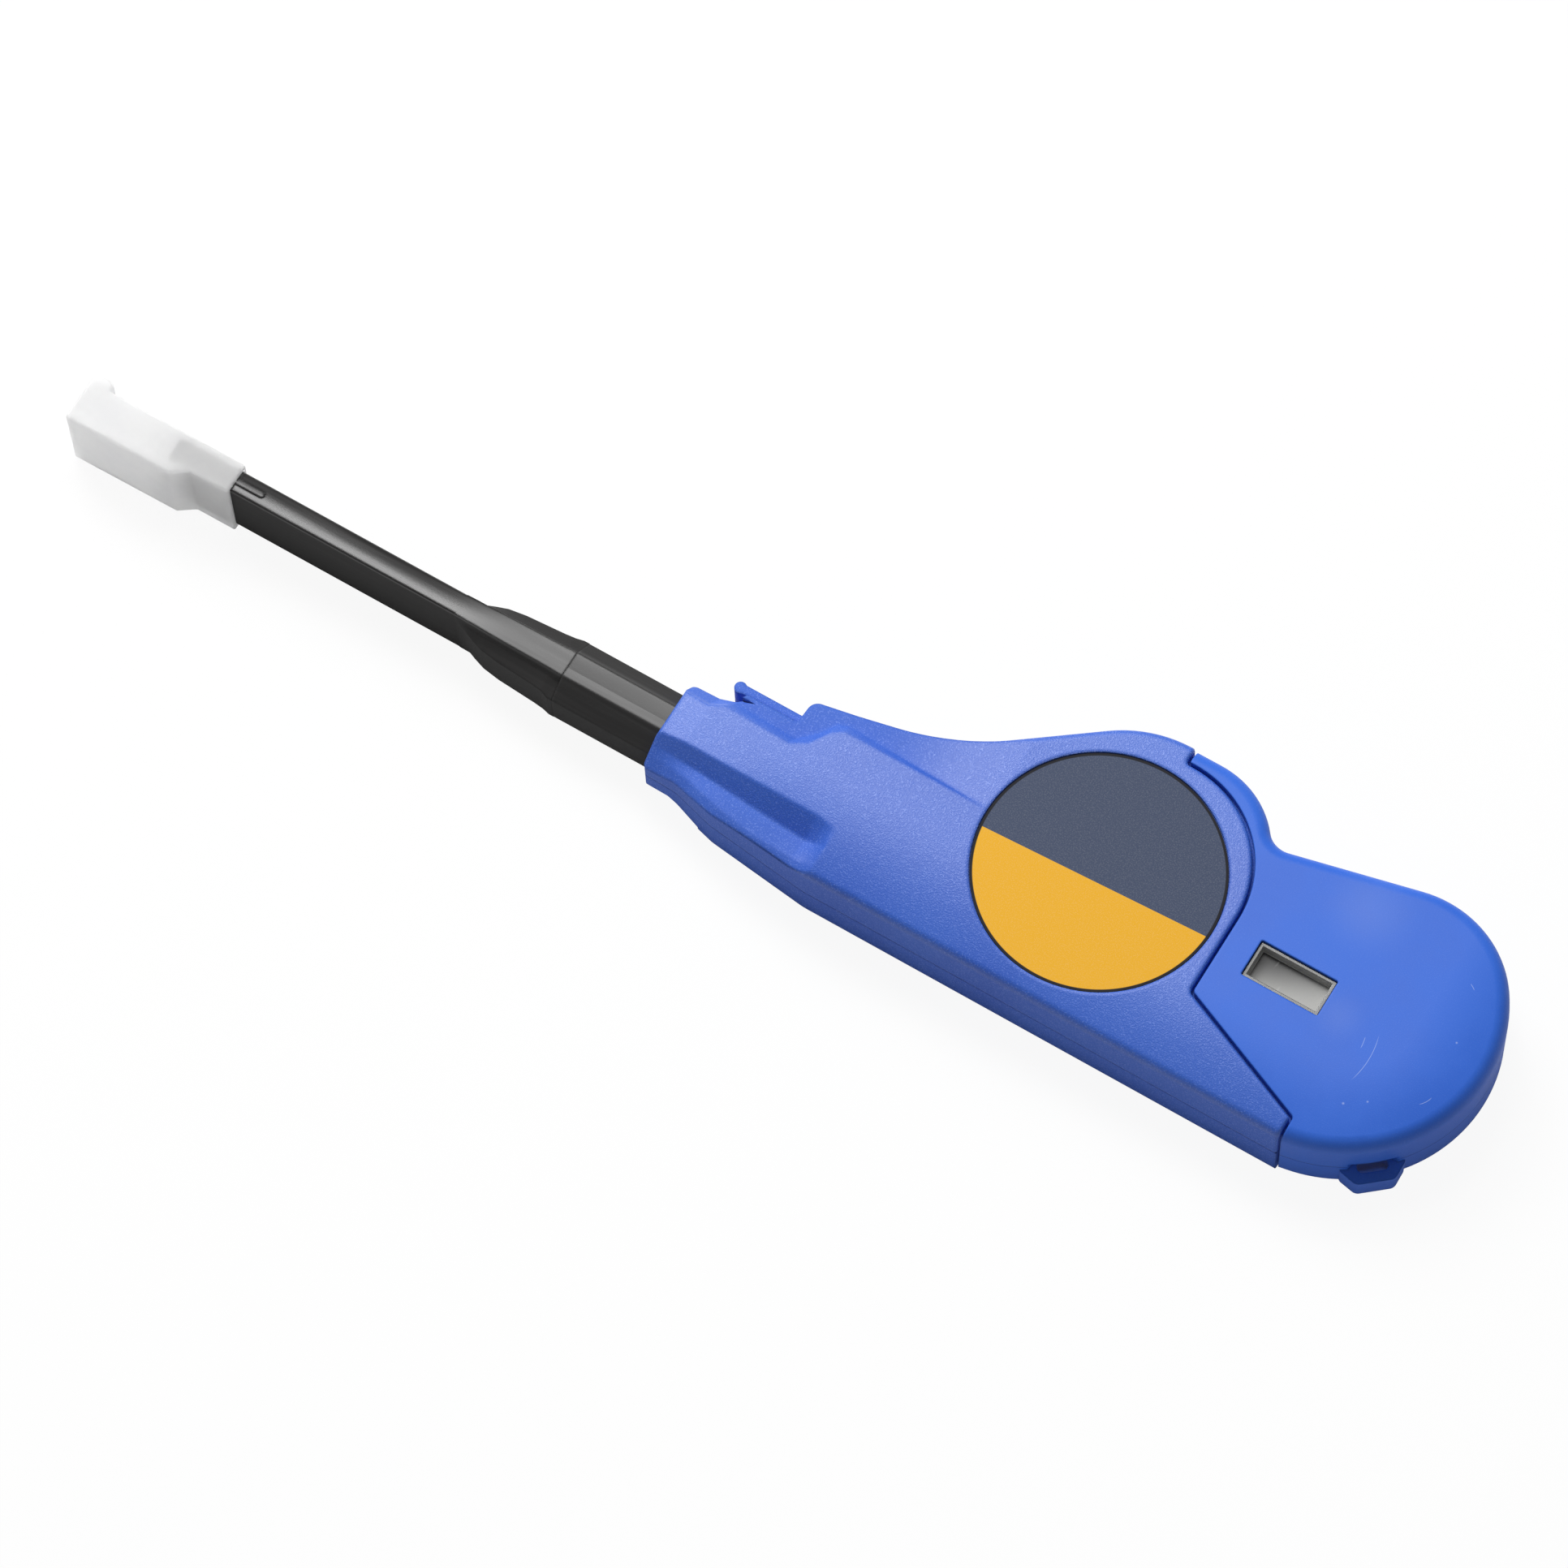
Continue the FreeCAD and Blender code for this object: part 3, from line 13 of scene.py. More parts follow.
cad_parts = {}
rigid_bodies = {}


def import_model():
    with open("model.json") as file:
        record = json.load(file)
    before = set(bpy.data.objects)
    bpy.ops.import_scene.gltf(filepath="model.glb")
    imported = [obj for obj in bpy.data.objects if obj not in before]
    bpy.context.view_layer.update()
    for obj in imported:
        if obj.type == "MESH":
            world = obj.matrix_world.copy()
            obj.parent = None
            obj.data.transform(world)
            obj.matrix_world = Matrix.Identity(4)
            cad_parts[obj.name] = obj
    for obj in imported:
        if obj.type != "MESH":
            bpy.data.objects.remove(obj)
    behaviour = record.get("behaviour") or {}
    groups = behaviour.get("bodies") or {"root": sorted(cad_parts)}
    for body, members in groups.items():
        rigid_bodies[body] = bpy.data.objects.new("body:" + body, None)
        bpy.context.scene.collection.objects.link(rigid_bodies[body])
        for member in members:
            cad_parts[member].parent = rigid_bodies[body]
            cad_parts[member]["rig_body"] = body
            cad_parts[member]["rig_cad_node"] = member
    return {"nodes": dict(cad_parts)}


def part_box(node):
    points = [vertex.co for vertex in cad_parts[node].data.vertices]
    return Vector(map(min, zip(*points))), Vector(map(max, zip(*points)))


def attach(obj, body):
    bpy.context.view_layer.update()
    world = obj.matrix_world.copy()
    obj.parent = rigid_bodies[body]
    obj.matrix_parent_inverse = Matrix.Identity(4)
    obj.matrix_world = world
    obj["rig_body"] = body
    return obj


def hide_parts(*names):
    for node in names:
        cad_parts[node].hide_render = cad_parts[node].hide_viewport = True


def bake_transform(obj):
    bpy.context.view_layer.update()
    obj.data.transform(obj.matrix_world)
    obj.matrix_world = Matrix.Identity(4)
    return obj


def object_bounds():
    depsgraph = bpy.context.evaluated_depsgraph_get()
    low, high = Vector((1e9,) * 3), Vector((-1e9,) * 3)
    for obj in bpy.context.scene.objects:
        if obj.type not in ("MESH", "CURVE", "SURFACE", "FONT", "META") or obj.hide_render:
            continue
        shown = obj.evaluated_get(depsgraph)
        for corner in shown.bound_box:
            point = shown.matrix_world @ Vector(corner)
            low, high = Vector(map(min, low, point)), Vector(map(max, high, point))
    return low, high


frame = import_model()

MM = 0.001
cad_box = [list(corner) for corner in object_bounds()]
nodes = frame["nodes"]
bpy.ops.object.select_all(action="DESELECT")
print("loaded", len(nodes), "pieces")

# %% [markdown]
# The camera stands high and to the near side and looks down along the tool.  It is far away
# with a long lens, so the tool's two ends keep almost the same scale.  A constraint could aim
# it, but this view is also rolled a little, so its three axes are worked out from angles and
# written into one matrix.

# %% Camera
label_low, label_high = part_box("round_label")
label_centre = (label_low + label_high) / 2
azimuth, elevation, roll = math.radians(34.33), math.radians(66.56), math.radians(-3.25)
level = Vector((math.cos(azimuth), math.sin(azimuth), 0))
forward = Vector((-math.sin(azimuth) * math.cos(elevation),
                  math.cos(azimuth) * math.cos(elevation), -math.sin(elevation)))
upright = level.cross(forward)
right = level * math.cos(roll) + upright * math.sin(roll)
up = upright * math.cos(roll) - level * math.sin(roll)
label_to_right, label_below, distance = 0.04787, 0.01340, 1.1717
to_label = right * label_to_right - up * label_below + forward * distance
camera_data = bpy.data.cameras.new("camera")
camera_data.lens = 177.02
camera_data.sensor_width = 36
camera_data.clip_start = 0.05
camera = bpy.data.objects.new("camera", camera_data)
bpy.context.collection.objects.link(camera)
turn = Matrix((right, up, -forward)).transposed().to_4x4()
camera.matrix_world = Matrix.Translation(label_centre - to_label) @ turn
bpy.context.scene.camera = camera
bpy.context.scene.view_settings.view_transform = "Standard"
print("camera", [round(v, 3) for v in camera.location])

# %% [markdown]
# Shader maths reads best as ordinary sums.  A small class wraps a socket, so that "1 - mask"
# adds the Math node that does it.

# %% Sums of shader values
class Wire:
    """A shader socket that can stand in a Python expression."""

    def __init__(self, shading, socket):
        self.shading, self.socket = shading, socket

    def maths(self, operation, *terms):
        values = dict(enumerate(terms))
        return self.shading.node("ShaderNodeMath", {"operation": operation}, values)

    def __add__(self, other): return self.maths("ADD", self, other)
    def __radd__(self, other): return self.maths("ADD", other, self)
    def __sub__(self, other): return self.maths("SUBTRACT", self, other)
    def __rsub__(self, other): return self.maths("SUBTRACT", other, self)
    def __mul__(self, other): return self.maths("MULTIPLY", self, other)
    def __rmul__(self, other): return self.maths("MULTIPLY", other, self)
    def __truediv__(self, other): return self.maths("DIVIDE", self, other)
    def __gt__(self, other): return self.maths("GREATER_THAN", self, other)
    def __abs__(self): return self.maths("ABSOLUTE", self)
    def root(self): return self.maths("SQRT", self)
    def least(self, other): return self.maths("MINIMUM", self, other)
    def most(self, other): return self.maths("MAXIMUM", self, other)

    def ramp(self, low, high, at_low=0.0, at_high=1.0):
        """Runs smoothly from at_low to at_high as this value goes from low to high."""
        return self.shading.node("ShaderNodeMapRange", {"interpolation_type": "SMOOTHSTEP"},
                                 {0: self, 1: low, 2: high, 3: at_low, 4: at_high})


# %% [markdown]
# Every other node comes from one method, which takes the node's type, its settings and the
# values or links of its sockets.  The world has a node tree as a material has, so the method
# belongs to a tree and both can use it.

# %% Node trees
class Shading:
    """A node tree of a material or of the world, and the ways to add to it."""

    def __init__(self, tree):
        self.tree = tree

    def feed(self, socket, value):
        if isinstance(value, Wire):
            self.tree.links.new(value.socket, socket)
        elif socket.type == "RGBA":
            socket.default_value = (*value, 1)
        else:
            socket.default_value = value

    def node(self, kind, settings=None, values=None, output=0):
        made = self.tree.nodes.new(kind)
        for key, value in (settings or {}).items():
            setattr(made, key, value)
        for key, value in (values or {}).items():
            self.feed(made.inputs[key], value)
        return Wire(self, made.outputs[output])

    def seen(self, in_gloss):
        """1 for what the camera sees directly or through clear plastic, less in reflections."""
        rays = self.tree.nodes.new("ShaderNodeLightPath").outputs
        direct, through, gloss = [Wire(self, rays["Is " + kind + " Ray"])
                                  for kind in ("Camera", "Transmission", "Glossy")]
        return direct.most(through).most(gloss * in_gloss)


# %% [markdown]
# A finish is one material.  Its patterns read Object coordinates, which are metres in the
# tool's own frame, so a scratch or a polished stretch is placed as on a drawing.

# %% Finishes
class Finish(Shading):
    """One material, built up node by node."""

    def __init__(self, name, **shader):
        self.material = bpy.data.materials.new(name)
        self.material.use_nodes = True
        super().__init__(self.material.node_tree)
        self.shader = self.tree.nodes["Principled BSDF"]
        for key, value in shader.items():
            self.set(key.replace("_", " ").title().replace("Ior", "IOR"), value)

    def set(self, name, value):
        self.feed(self.shader.inputs[name], value)

    def spot(self):
        """The point on the piece, in metres."""
        return self.node("ShaderNodeTexCoord", output="Object")

    def place(self):
        """The same point, and its x, y and z as three values."""
        point = self.spot()
        split = self.tree.nodes.new("ShaderNodeSeparateXYZ")
        self.feed(split.inputs[0], point)
        return point, [Wire(self, out) for out in split.outputs]

    def stretch(self, point, scale):
        return self.node("ShaderNodeMapping", None, {"Vector": point, "Scale": scale})

    def noise(self, point, scale, detail=2.0, rough=0.5):
        values = {"Vector": point, "Scale": scale, "Detail": detail, "Roughness": rough}
        return self.node("ShaderNodeTexNoise", None, values)

    def blend(self, amount, first, second):
        values = {0: amount, 6: first, 7: second}
        return self.node("ShaderNodeMix", {"data_type": "RGBA"}, values, output=2)

    def bump(self, height, round_edges=0.0):
        """Tilts the surface by a height in metres; round_edges softens sharp corners first."""
        values = {"Strength": 1.0, "Distance": 1.0, "Height": height}
        if round_edges:
            values["Normal"] = self.node("ShaderNodeBevel", {"samples": 6}, {"Radius": round_edges})
        self.set("Normal", self.node("ShaderNodeBump", None, values))


def linear(level):
    """A screen value from 0 to 255 as the share of light that the shader works with."""
    share = level / 255
    return ((share + 0.055) / 1.055) ** 2.4 if share > 0.04045 else share / 12.92


def shade(red, green, blue):
    """A colour written in screen values."""
    return linear(red), linear(green), linear(blue)


def dress(finish, *names):
    """Gives one finish to pieces that came with the frame."""
    for name in names:
        piece = nodes[name]
        piece.data.materials.clear()
        piece.data.materials.append(finish.material)
    print(finish.material.name, "on", ", ".join(names))


# %% [markdown]
# The front housing and the lever are moulded in satin blue with a fine spark-eroded grain,
# which shows as tiny light specks, so noise at about a quarter of a millimetre feeds colour
# and bump.  The moulded face also falls away gently from a crest line towards its near edge.
# That crown is too shallow to be worth a curved solid, so it is a height that grows with the
# square of the distance from the crest, taken from the grain before the bump.  A curve value is
# what that height would be a metre away.  Hollows and side walls keep the mould's matt texture
# while the open faces are rubbed smoother, and a hairline marks where the two halves meet.

# %% Grained blue
middle_height = (cad_box[0][2] + cad_box[1][2]) / 2
seam_blue = shade(26, 44, 108)


def hairline(z):
    """A mask along the height where the two halves of a housing meet."""
    return abs(z - middle_height).ramp(0.04 * MM, 0.09 * MM, 0.6, 0.0)


grained = Finish("grained_blue", specular_ior_level=0.6)
spot, (x, y, z) = grained.place()
grain = grained.noise(spot, 4200, 2.0, 0.65)
cloud = grained.noise(spot, 38, 3.0)
blue = grained.blend(cloud.ramp(0.35, 0.65), shade(43, 88, 188), shade(49, 95, 194))
blue = grained.blend(grain.ramp(0.52, 0.72) * 0.5, blue, shade(118, 148, 232))
grained.set("Base Color", grained.blend(hairline(z), blue, seam_blue))
open_face = abs(z - middle_height).ramp(middle_height - 1.6 * MM, middle_height - 0.4 * MM)
grained.set("Roughness", 0.72 - open_face * 0.29 - grain.ramp(0.45, 0.7) * 0.08)
crest_y, nose_x, body_x = -6.5 * MM, -62 * MM, -44 * MM
nose_curve, body_curve = 2.5, 11.0
from_crest = (crest_y - y).most(0.0)
crown = from_crest * from_crest * x.ramp(nose_x, body_x, nose_curve, body_curve)
grained.bump(grain * (0.06 * MM) - crown, round_edges=0.9 * MM)
dress(grained, "front_shell_upper", "front_shell_lower", "release_lever")

# %% [markdown]
# The rear housing is smoother, with faint swirls from handling, two pale patches of painted
# sheen and a few thin pale scratches and chips.  They could be painted on an image, but a
# formula stays sharp at any size: a scratch is the thin band round a circle, cut to a short
# length, and a sheen patch or a chip is a soft round spot.

# %% Smooth blue, its marks
smooth = Finish("smooth_blue", specular_ior_level=0.21)
spot, (x, y, z) = smooth.place()
top_side = z > 8 * MM


def away_from(centre):
    """The way along x and y from a point in millimetres, and its length."""
    away_x, away_y = x - centre[0] * MM, y - centre[1] * MM
    return away_x, away_y, (away_x * away_x + away_y * away_y).root()


def scratch(centre, radius, start, stop):
    """A mask that is 1 along an arc on the top face, in millimetres and degrees."""
    away_x, away_y, away = away_from(centre)
    band = abs(away - radius * MM).ramp(0.024 * MM, 0.06 * MM, 1.0, 0.0)
    middle, half = math.radians((start + stop) / 2), math.radians((stop - start) / 2)
    ahead = away_x * math.cos(middle) + away_y * math.sin(middle)
    inside = (ahead / away).ramp(math.cos(half), math.cos(half * 0.5))
    return band * inside * top_side


def patch(centre, radius):
    """A soft round mask on the top face, in millimetres."""
    return away_from(centre)[2].ramp(0.0, radius * MM, 1.0, 0.0) * top_side


scratches = (((35.8, -5.7), 14.5, -18, 18), ((36.0, -5.7), 12.4, 4, 14),
             ((58.0, -5.5), 3.5, -50, -10), ((55.0, 8.0), 5.4, 50, 64))
chips = (((50.5, -13.8), 0.3), ((53.5, -11.7), 0.25), ((60.3, 3.4), 0.25))
marks = sum(scratch(*arc) for arc in scratches) + sum(patch(*chip) for chip in chips)
# Painted sheen: two soft pale patches on the top face, where a highlight falls.
sheen_patches = patch((38.5, 15.5), 9.0) * 0.065 + patch((43.0, -2.0), 5.0) * 0.05
print("marks:", len(scratches), "scratches and", len(chips), "chips")

# %% [markdown]
# The crown of this half is round as its end is.  It starts 8 mm from a point near the middle of
# the round end and falls away towards the tail and the near side.

# %% Smooth blue, the finish
swirl = smooth.noise(spot, 60, 4.0, 0.6)
fine = smooth.noise(spot, 5200, 2.0)
blue = smooth.blend(swirl.ramp(0.3, 0.7), shade(49, 99, 202), shade(54, 105, 209))
blue = smooth.blend(fine.ramp(0.5, 0.75) * 0.10, blue, shade(120, 150, 232))
blue = smooth.blend(hairline(z), blue, seam_blue)
# Real scratches and chips, with the patches of painted sheen, turn the blue paler.
wear_and_sheen = (marks * 0.5 + sheen_patches).least(1.0)
smooth.set("Base Color", smooth.blend(wear_and_sheen, blue, shade(186, 202, 242)))
smooth.set("Roughness", 0.40 + swirl.ramp(0.4, 0.7) * 0.06 + marks * 0.2)
round_middle_x, flat_radius, end_curve = 46 * MM, 8 * MM, 9.0
beyond, nearer = (x - round_middle_x).most(0.0), (0 - y).most(0.0)
from_crest = ((beyond * beyond + nearer * nearer).root() - flat_radius).most(0.0)
crown = from_crest * from_crest * end_curve
smooth.bump(fine * (0.012 * MM) - crown, round_edges=0.4 * MM)
dress(smooth, "rear_shell_upper", "rear_shell_lower")

# %% [markdown]
# The round label is a printed film: a slate field above an amber field, with a thin dark rim.
# An image could be mapped on it, but two fields and a rim are only a line and a circle, so
# they are worked out.  The middle of the disc is the frame's origin, so the rim is a distance
# from it.  The line crosses the disc at a slight tilt, so it is a sum of x and y.  The fields
# carry no lettering.

# %% Label
printed = Finish("label_print", roughness=0.5, specular_ior_level=0.1)
spot, (x, y, _) = printed.place()
label_radius = (label_high.x - label_low.x) / 2
away = (x * x + y * y).root()
tilt, lift = 0.0447, 1.74 * MM
amber_side = (y - x * tilt + lift).ramp(-0.04 * MM, 0.04 * MM, 1.0, 0.0)
tooth = printed.noise(spot, 5200, 2.0)
fields = printed.blend(amber_side, shade(62, 72, 95), shade(222, 165, 35))
fields = printed.blend(tooth.ramp(0.45, 0.7) * 0.045, fields, shade(255, 255, 255))
rim = away.ramp(label_radius - 0.50 * MM, label_radius - 0.36 * MM)
printed.set("Base Color", printed.blend(rim, fields, shade(24, 24, 30)))
printed.bump(tooth * (0.004 * MM))
dress(printed, "round_label")

# %% [markdown]
# The window is a moulding shaped as a shallow tray: a flange behind the housing wall, a rim in
# the opening and a frosted floor over the reel.  A boolean could cut the well, but an inset
# keeps every wall an even width, so the tray grows from a block of the flange's size.

# %% Window tray, the flange
window_low, window_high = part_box("inspection_window")
full_height = window_high.z - window_low.z
flange_thickness, flange_margin = 0.9 * MM, 1.38 * MM
flange_size = window_high - window_low
flange_size.z = flange_thickness
flange_middle = (window_low + window_high) / 2
flange_middle.z = window_low.z + flange_thickness / 2
bpy.ops.object.select_all(action="DESELECT")
bpy.ops.mesh.primitive_cube_add(size=1, location=flange_middle, scale=flange_size)
tray = bpy.context.object
tray.name = "window_tray"
bpy.ops.object.transform_apply(location=True, rotation=True, scale=True)
print("flange", [round(side / MM, 2) for side in flange_size], "mm")

# %% [markdown]
# The block's top face is inset and raised for the rim, then inset again and sunk for the well.
# Each extrude leaves the new face selected, so the next inset needs no new selection.  A small
# bevel breaks the edges so that they catch the light.

# %% Window tray, rim and well
rim_width, floor_thickness = 0.62 * MM, 0.35 * MM
bpy.ops.object.mode_set(mode="EDIT")
bpy.ops.mesh.select_mode(type="FACE")
bpy.ops.mesh.select_all(action="DESELECT")
bpy.ops.object.mode_set(mode="OBJECT")
for face in tray.data.polygons:
    face.select = face.normal.z > 0.9
bpy.ops.object.mode_set(mode="EDIT")
for inset, rise in ((flange_margin, full_height - flange_thickness),
                    (rim_width, floor_thickness - full_height)):
    bpy.ops.mesh.inset(thickness=inset)
    bpy.ops.mesh.extrude_region_move(TRANSFORM_OT_translate={"value": (0, 0, rise)})
bpy.ops.object.mode_set(mode="OBJECT")
soften = tray.modifiers.new("soften", "BEVEL")
soften.width, soften.segments, soften.limit_method = 0.14 * MM, 2, "ANGLE"
bpy.ops.object.modifier_apply(modifier=soften.name)
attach(tray, "housing")
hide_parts("inspection_window")
print("window tray", len(tray.data.polygons), "faces")

# %% [markdown]
# The rim and walls are a milky clear plastic: a little light goes through, the body scatters
# the rest, and a smooth coat keeps the sharp glints.  Fully clear walls this thin only show
# speckles.  The walls are painted paler than the top of the rim: painted light for the light
# that comes through them.

# %% Window tray, rim and walls
clear = Finish("clear_window", roughness=0.42, transmission_weight=0.12, ior=1.49,
               coat_weight=0.25, coat_roughness=0.1)
spot, (_, _, z) = clear.place()
flow = clear.noise(spot, 300, 2.0)
# Painted light: the walls are paler than the rim's top, for light that comes through them.
painted_lit_wall = clear.blend(flow, shade(164, 164, 161), shade(188, 188, 184))
on_rim = z.ramp(window_high.z - 0.25 * MM, window_high.z - 0.05 * MM)
clear.set("Base Color", clear.blend(on_rim, painted_lit_wall, shade(104, 104, 102)))
clear.bump(flow * (0.01 * MM))
tray.data.materials.append(clear.material)
print(clear.material.name, "on", tray.name)

# %% [markdown]
# The floor is frosted grey and opaque.  Its colour is a painted gradient: pale towards the near
# side, painted to look like the wound tape below, and darker towards the far corner, painted
# shade where the far walls shade it, with a few fine strokes from the mould.  It is the one
# face that looks up from so low in the tray, and is found by its normal and its height.

# %% Window tray, the floor
floor_finish = Finish("frosted_window_floor", roughness=0.4, specular_ior_level=0.2)
spot, (x, y, _) = floor_finish.place()
across, along = x - flange_middle.x, y - flange_middle.y
# Painted shade: the floor darkens towards the far corner, where the far walls shade it.
painted_shade_to_tape = (across * 0.42 - along).ramp(-4.2 * MM, 3.6 * MM)
stroke = floor_finish.noise(floor_finish.stretch(spot, (900, 160, 160)), 1.0, 2.0)
tape_and_painted_shade = floor_finish.blend(painted_shade_to_tape, shade(62, 62, 63), shade(165, 165, 163))
tape_and_painted_shade = floor_finish.blend(stroke.ramp(0.6, 0.75) * 0.25, tape_and_painted_shade, shade(206, 206, 204))
floor_finish.set("Base Color", tape_and_painted_shade)
floor_finish.bump(stroke * (0.006 * MM))
tray.data.materials.append(floor_finish.material)
floor_height = window_low.z + floor_thickness
for face in tray.data.polygons:
    is_floor = face.normal.z > 0.9 and face.center.z < floor_height + 0.01 * MM
    face.material_index = 1 if is_floor else 0
print("floor faces", sum(face.material_index for face in tray.data.polygons))

# %% [markdown]
# The shaft is near-black plastic.  Its top is slightly crowned and rubbed smooth, so it shines
# in a soft line along its length, while its sides keep the matt texture of the mould.  Height
# above the table tells top from side.  The crown grows with the square of the distance from a
# crest line a little off the middle: steep on the narrow blade, and shallow past the neck.

# %% Dark shaft
blade_curve, crown_reach = 54.0, 5.0 * MM
curve_from, curve_to = -116 * MM, -88 * MM
polish_from, polish_to = -112 * MM, -96 * MM


def dark_plastic(name, crest, curve_past_neck):
    """Dresses one piece of the shaft, whose crest lies off its middle line, in metres."""
    low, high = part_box(name)
    dark = Finish("dark_" + name, specular_ior_level=0.54)
    spot, (x, y, z) = dark.place()
    drawn = dark.noise(dark.stretch(spot, (60, 1400, 1400)), 1.0, 3.0)
    grain = dark.noise(spot, 5200, 2.0)
    black = dark.blend(drawn.ramp(0.35, 0.7), shade(27, 26, 26), shade(37, 36, 36))
    dark.set("Base Color", black)
    on_top = z.ramp(high.z - 1.0 * MM, high.z - 0.3 * MM)
    polish = on_top * x.ramp(polish_from, polish_to, 0.62, 0.47)
    dark.set("Roughness", 0.85 - polish + drawn.ramp(0.3, 0.7) * 0.05)
    aside = (y - ((low.y + high.y) / 2 + crest)).least(crown_reach).most(-crown_reach)
    curve = x.ramp(curve_from, curve_to, blade_curve, curve_past_neck)
    dark.bump(grain * (0.005 * MM) - aside * aside * curve, round_edges=0.5 * MM)
    dress(dark, name)


dark_plastic("shaft_sleeve", -1.5 * MM, 4.0)
dark_plastic("shaft_base", 2.2 * MM, 10.0)

# %% [markdown]
# The dust cap is frosted plastic.  Some of the light passes it and is blurred, and the rest is
# scattered back as white.  Subsurface light does the scattering at the price of a few more
# samples, and a trace of glow stands for the light that bounces about inside the walls.

# %% Frosted cap
frosted = Finish("frosted_cap", roughness=0.6, transmission_weight=0.4, ior=1.12,
                 subsurface_weight=1.0, subsurface_radius=(1, 1, 1), subsurface_scale=6 * MM,
                 emission_color=(1, 1, 1), emission_strength=0.03)
spot = frosted.spot()
haze = frosted.noise(spot, 160, 3.0).ramp(0.35, 0.65)
grain = frosted.noise(spot, 3200, 2.0)
frosted.set("Base Color", frosted.blend(haze, shade(244, 244, 245), shade(252, 252, 252)))
frosted.bump(grain * (0.01 * MM), round_edges=0.4 * MM)
dress(frosted, "dust_cap")

# %% [markdown]
# Inside, the rack, gear, pawl, rollers and tip are natural plastic and the reels a white one,
# coloured mid-grey as painted shade for the dim inside of the housing.  Both are plain
# mouldings whose colour is never quite even, so one noise tints them and gives the surface its
# shallow height.

# %% Natural and white plastic
def cloudy(name, roughness, scale, darker, paler, height, *pieces):
    """Dresses pieces in a faintly cloudy plastic."""
    finish = Finish(name, roughness=roughness)
    cloud = finish.noise(finish.spot(), scale, 3.0)
    finish.set("Base Color", finish.blend(cloud, darker, paler))
    finish.bump(cloud * height)
    dress(finish, *pieces)


cloudy("natural_plastic", 0.5, 900, shade(222, 220, 210), shade(238, 236, 228), 0.012 * MM,
       "drive_rack", "tape_guide", "tip_head", "drive_gear", "clutch_ring", "stop_pawl",
       "supply_roller", "return_roller")
# The white reels are coloured mid-grey: painted shade for the dim inside of the housing.
cloudy("white_reel_in_painted_shade", 0.4, 700, shade(168, 168, 166), shade(186, 186, 184), 0.008 * MM,
       "take_up_reel", "supply_reel")

# %% [markdown]
# Screws, pins and springs are plain steel.  What tells worn metal from a mirror is uneven
# gloss, so the same noise drives the roughness as well as the colour.

# %% Steel
steel = Finish("plain_steel", metallic=1.0)
turned = steel.noise(steel.spot(), 1800, 3.0)
steel.set("Base Color", steel.blend(turned, shade(150, 150, 154), shade(186, 186, 190)))
steel.set("Roughness", 0.25 + turned * 0.15)
dress(steel, "housing_screws", "pawl_pin", "lever_pin", "return_spring", "tip_spring")

# %% [markdown]
# The cleaning tape is a white woven ribbon.  Modelled threads would be far too many, so two
# crossed wave patterns, one for each way of the weave, stand for them in colour and height.

# %% Woven tape
woven = Finish("woven_tape", roughness=0.8)
spot = woven.spot()
weft, warp = [woven.node("ShaderNodeTexWave", {"bands_direction": way},
                         {"Vector": spot, "Scale": 900, "Distortion": 1.0}) for way in "ZX"]
thread = weft * 0.5 + warp * 0.5
woven.set("Base Color", woven.blend(thread, shade(214, 214, 210), shade(244, 244, 240)))
woven.bump(thread * (0.01 * MM))
dress(woven, "cleaning_tape", "used_tape_roll", "fresh_tape_roll")

# %% [markdown]
# The tape and the two springs change length when the shaft or the tip slides.  Each gets a copy
# that keeps the solid's shape, and the two places along x between which it would stretch are
# printed: for the tape just behind the tip and just before the rollers, and for a spring its two
# ends.  The copy is not tied to the bodies, so it does not stretch yet.  The copy starts as loose
# triangles, so its doubled points are merged before it is shaded smooth.

# %% Copies of the tape and springs
def stretching(piece_name, node, from_x, to_x):
    """Replaces a CAD node by a smooth-shaded copy, and prints where along x it would stretch."""
    bpy.ops.object.select_all(action="DESELECT")
    nodes[node].select_set(True)
    bpy.context.view_layer.objects.active = nodes[node]
    bpy.ops.object.duplicate()
    piece = bpy.context.object
    bpy.ops.object.parent_clear(type="CLEAR_KEEP_TRANSFORM")
    piece.name = piece_name
    del piece["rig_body"], piece["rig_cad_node"]
    bpy.ops.object.mode_set(mode="EDIT")
    bpy.ops.mesh.select_all(action="SELECT")
    bpy.ops.mesh.remove_doubles(threshold=0.001 * MM)
    bpy.ops.mesh.customdata_custom_splitnormals_clear()
    bpy.ops.object.mode_set(mode="OBJECT")
    bpy.ops.object.shade_smooth_by_angle(angle=math.radians(35))
    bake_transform(piece)
    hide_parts(node)
    points = len(piece.data.vertices)
    print(piece_name, points, "points, from", round(from_x, 4), "to", round(to_x, 4))


tape_low, roller_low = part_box("cleaning_tape")[0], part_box("supply_roller")[0]
stretching("tape_strip", "cleaning_tape",
           tape_low.x + 2 * MM, roller_low.x - 0.2 * MM)
coils = (("return_coil", "return_spring", "shaft", "housing"),
         ("tip_coil", "tip_spring", "tip", "shaft"))
for piece_name, node, front_body, back_body in coils:
    coil_low, coil_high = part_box(node)
    stretching(piece_name, node, coil_low.x, coil_high.x)

# %% [markdown]
# The table is a white sheet.  Brighter lamps would turn it white and bleach the tool as well,
# so the sheet's shader is mixed with a glow that only the camera sees in full.  The rest of
# the mix is the lit sheet, which keeps a soft shadow under the tool.

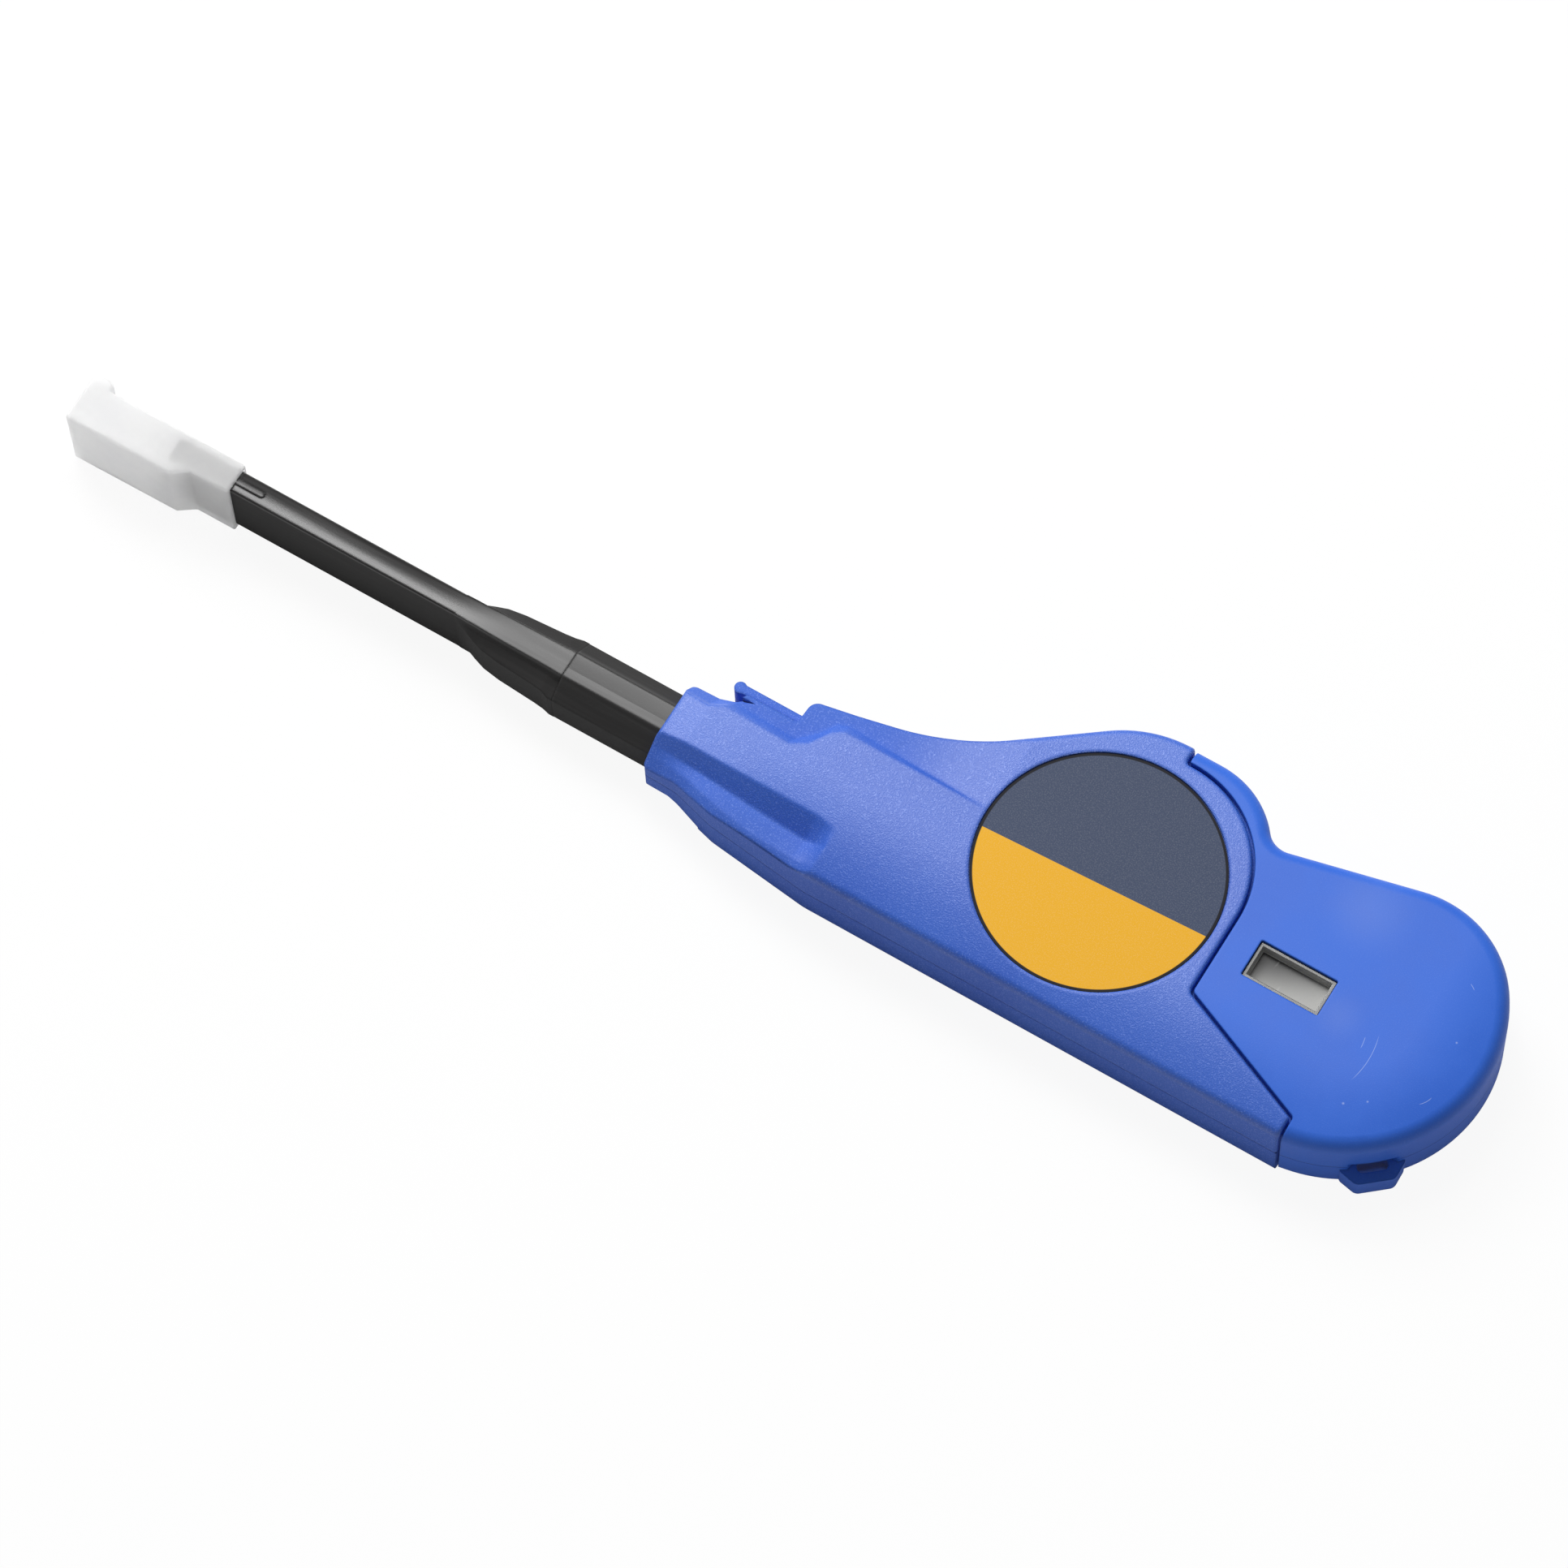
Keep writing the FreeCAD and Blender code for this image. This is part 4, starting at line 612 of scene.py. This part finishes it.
# %% Floor
bpy.ops.mesh.primitive_plane_add(size=60, location=(0, 0, cad_box[0][2] - 0.2 * MM))
floor = bpy.context.object
floor.name = "floor"
table = Finish("white_table", roughness=0.9)
pulp = table.noise(table.spot(), 40, 2.0)
table.set("Base Color", table.blend(pulp, shade(234, 234, 234), shade(240, 240, 240)))
glow = table.node("ShaderNodeEmission", None, {"Color": (1, 1, 1), "Strength": 1.0})
lit_sheet = Wire(table, table.shader.outputs[0])
mix = table.node("ShaderNodeMixShader", None, {0: table.seen(0.1) * 0.92, 1: lit_sheet, 2: glow})
table.feed(table.tree.nodes["Material Output"].inputs["Surface"], mix)
floor.data.materials.append(table.material)
print("floor at", round(floor.location.z / MM, 2), "mm")

# %% [markdown]
# The world fills the shadows with a plain even light.  It is white where the camera sees it past
# the end of the table, and hardly brighter than the fill in reflections, so that it doesn't
# wash out the gloss.

# %% World
world = bpy.data.worlds.new("studio")
world.use_nodes = True
bpy.context.scene.world = world
fill_light = 0.24
sky = world.node_tree.nodes["Background"]
air = Shading(world.node_tree)
air.feed(sky.inputs["Color"], (1, 1, 1))
air.feed(sky.inputs["Strength"], air.seen(0.03) * (1 - fill_light) + fill_light)
print("world fill", fill_light)

# %% [markdown]
# A softbox stands beyond the tool, where a mirror on the table would show it to the camera, so
# it lays a broad sheen on the flat faces.  A second, wider one stands high above the tip end and
# shapes the edges and walls.

# %% Lights
def softbox(name, toward, distance, side, power, aim_at=(0, 0, 0)):
    """A square area lamp in a direction from a point on the tool, facing it."""
    data = bpy.data.lights.new(name, "AREA")
    data.size, data.energy = side, power
    lamp = bpy.data.objects.new(name, data)
    bpy.context.collection.objects.link(lamp)
    away = Vector(toward).normalized()
    lamp.location = Vector(aim_at) + away * distance
    lamp.rotation_euler = away.to_track_quat("Z", "Y").to_euler()
    print(name, "lamp at", [round(v, 2) for v in lamp.location])


mirror = Vector((forward.x, forward.y, -forward.z))
softbox("key", mirror, distance=0.8, side=0.3, power=3.0, aim_at=(-0.03, 0, 0))
softbox("wide", (-0.9, 0.55, 1.0), distance=1.2, side=0.5, power=10.5)
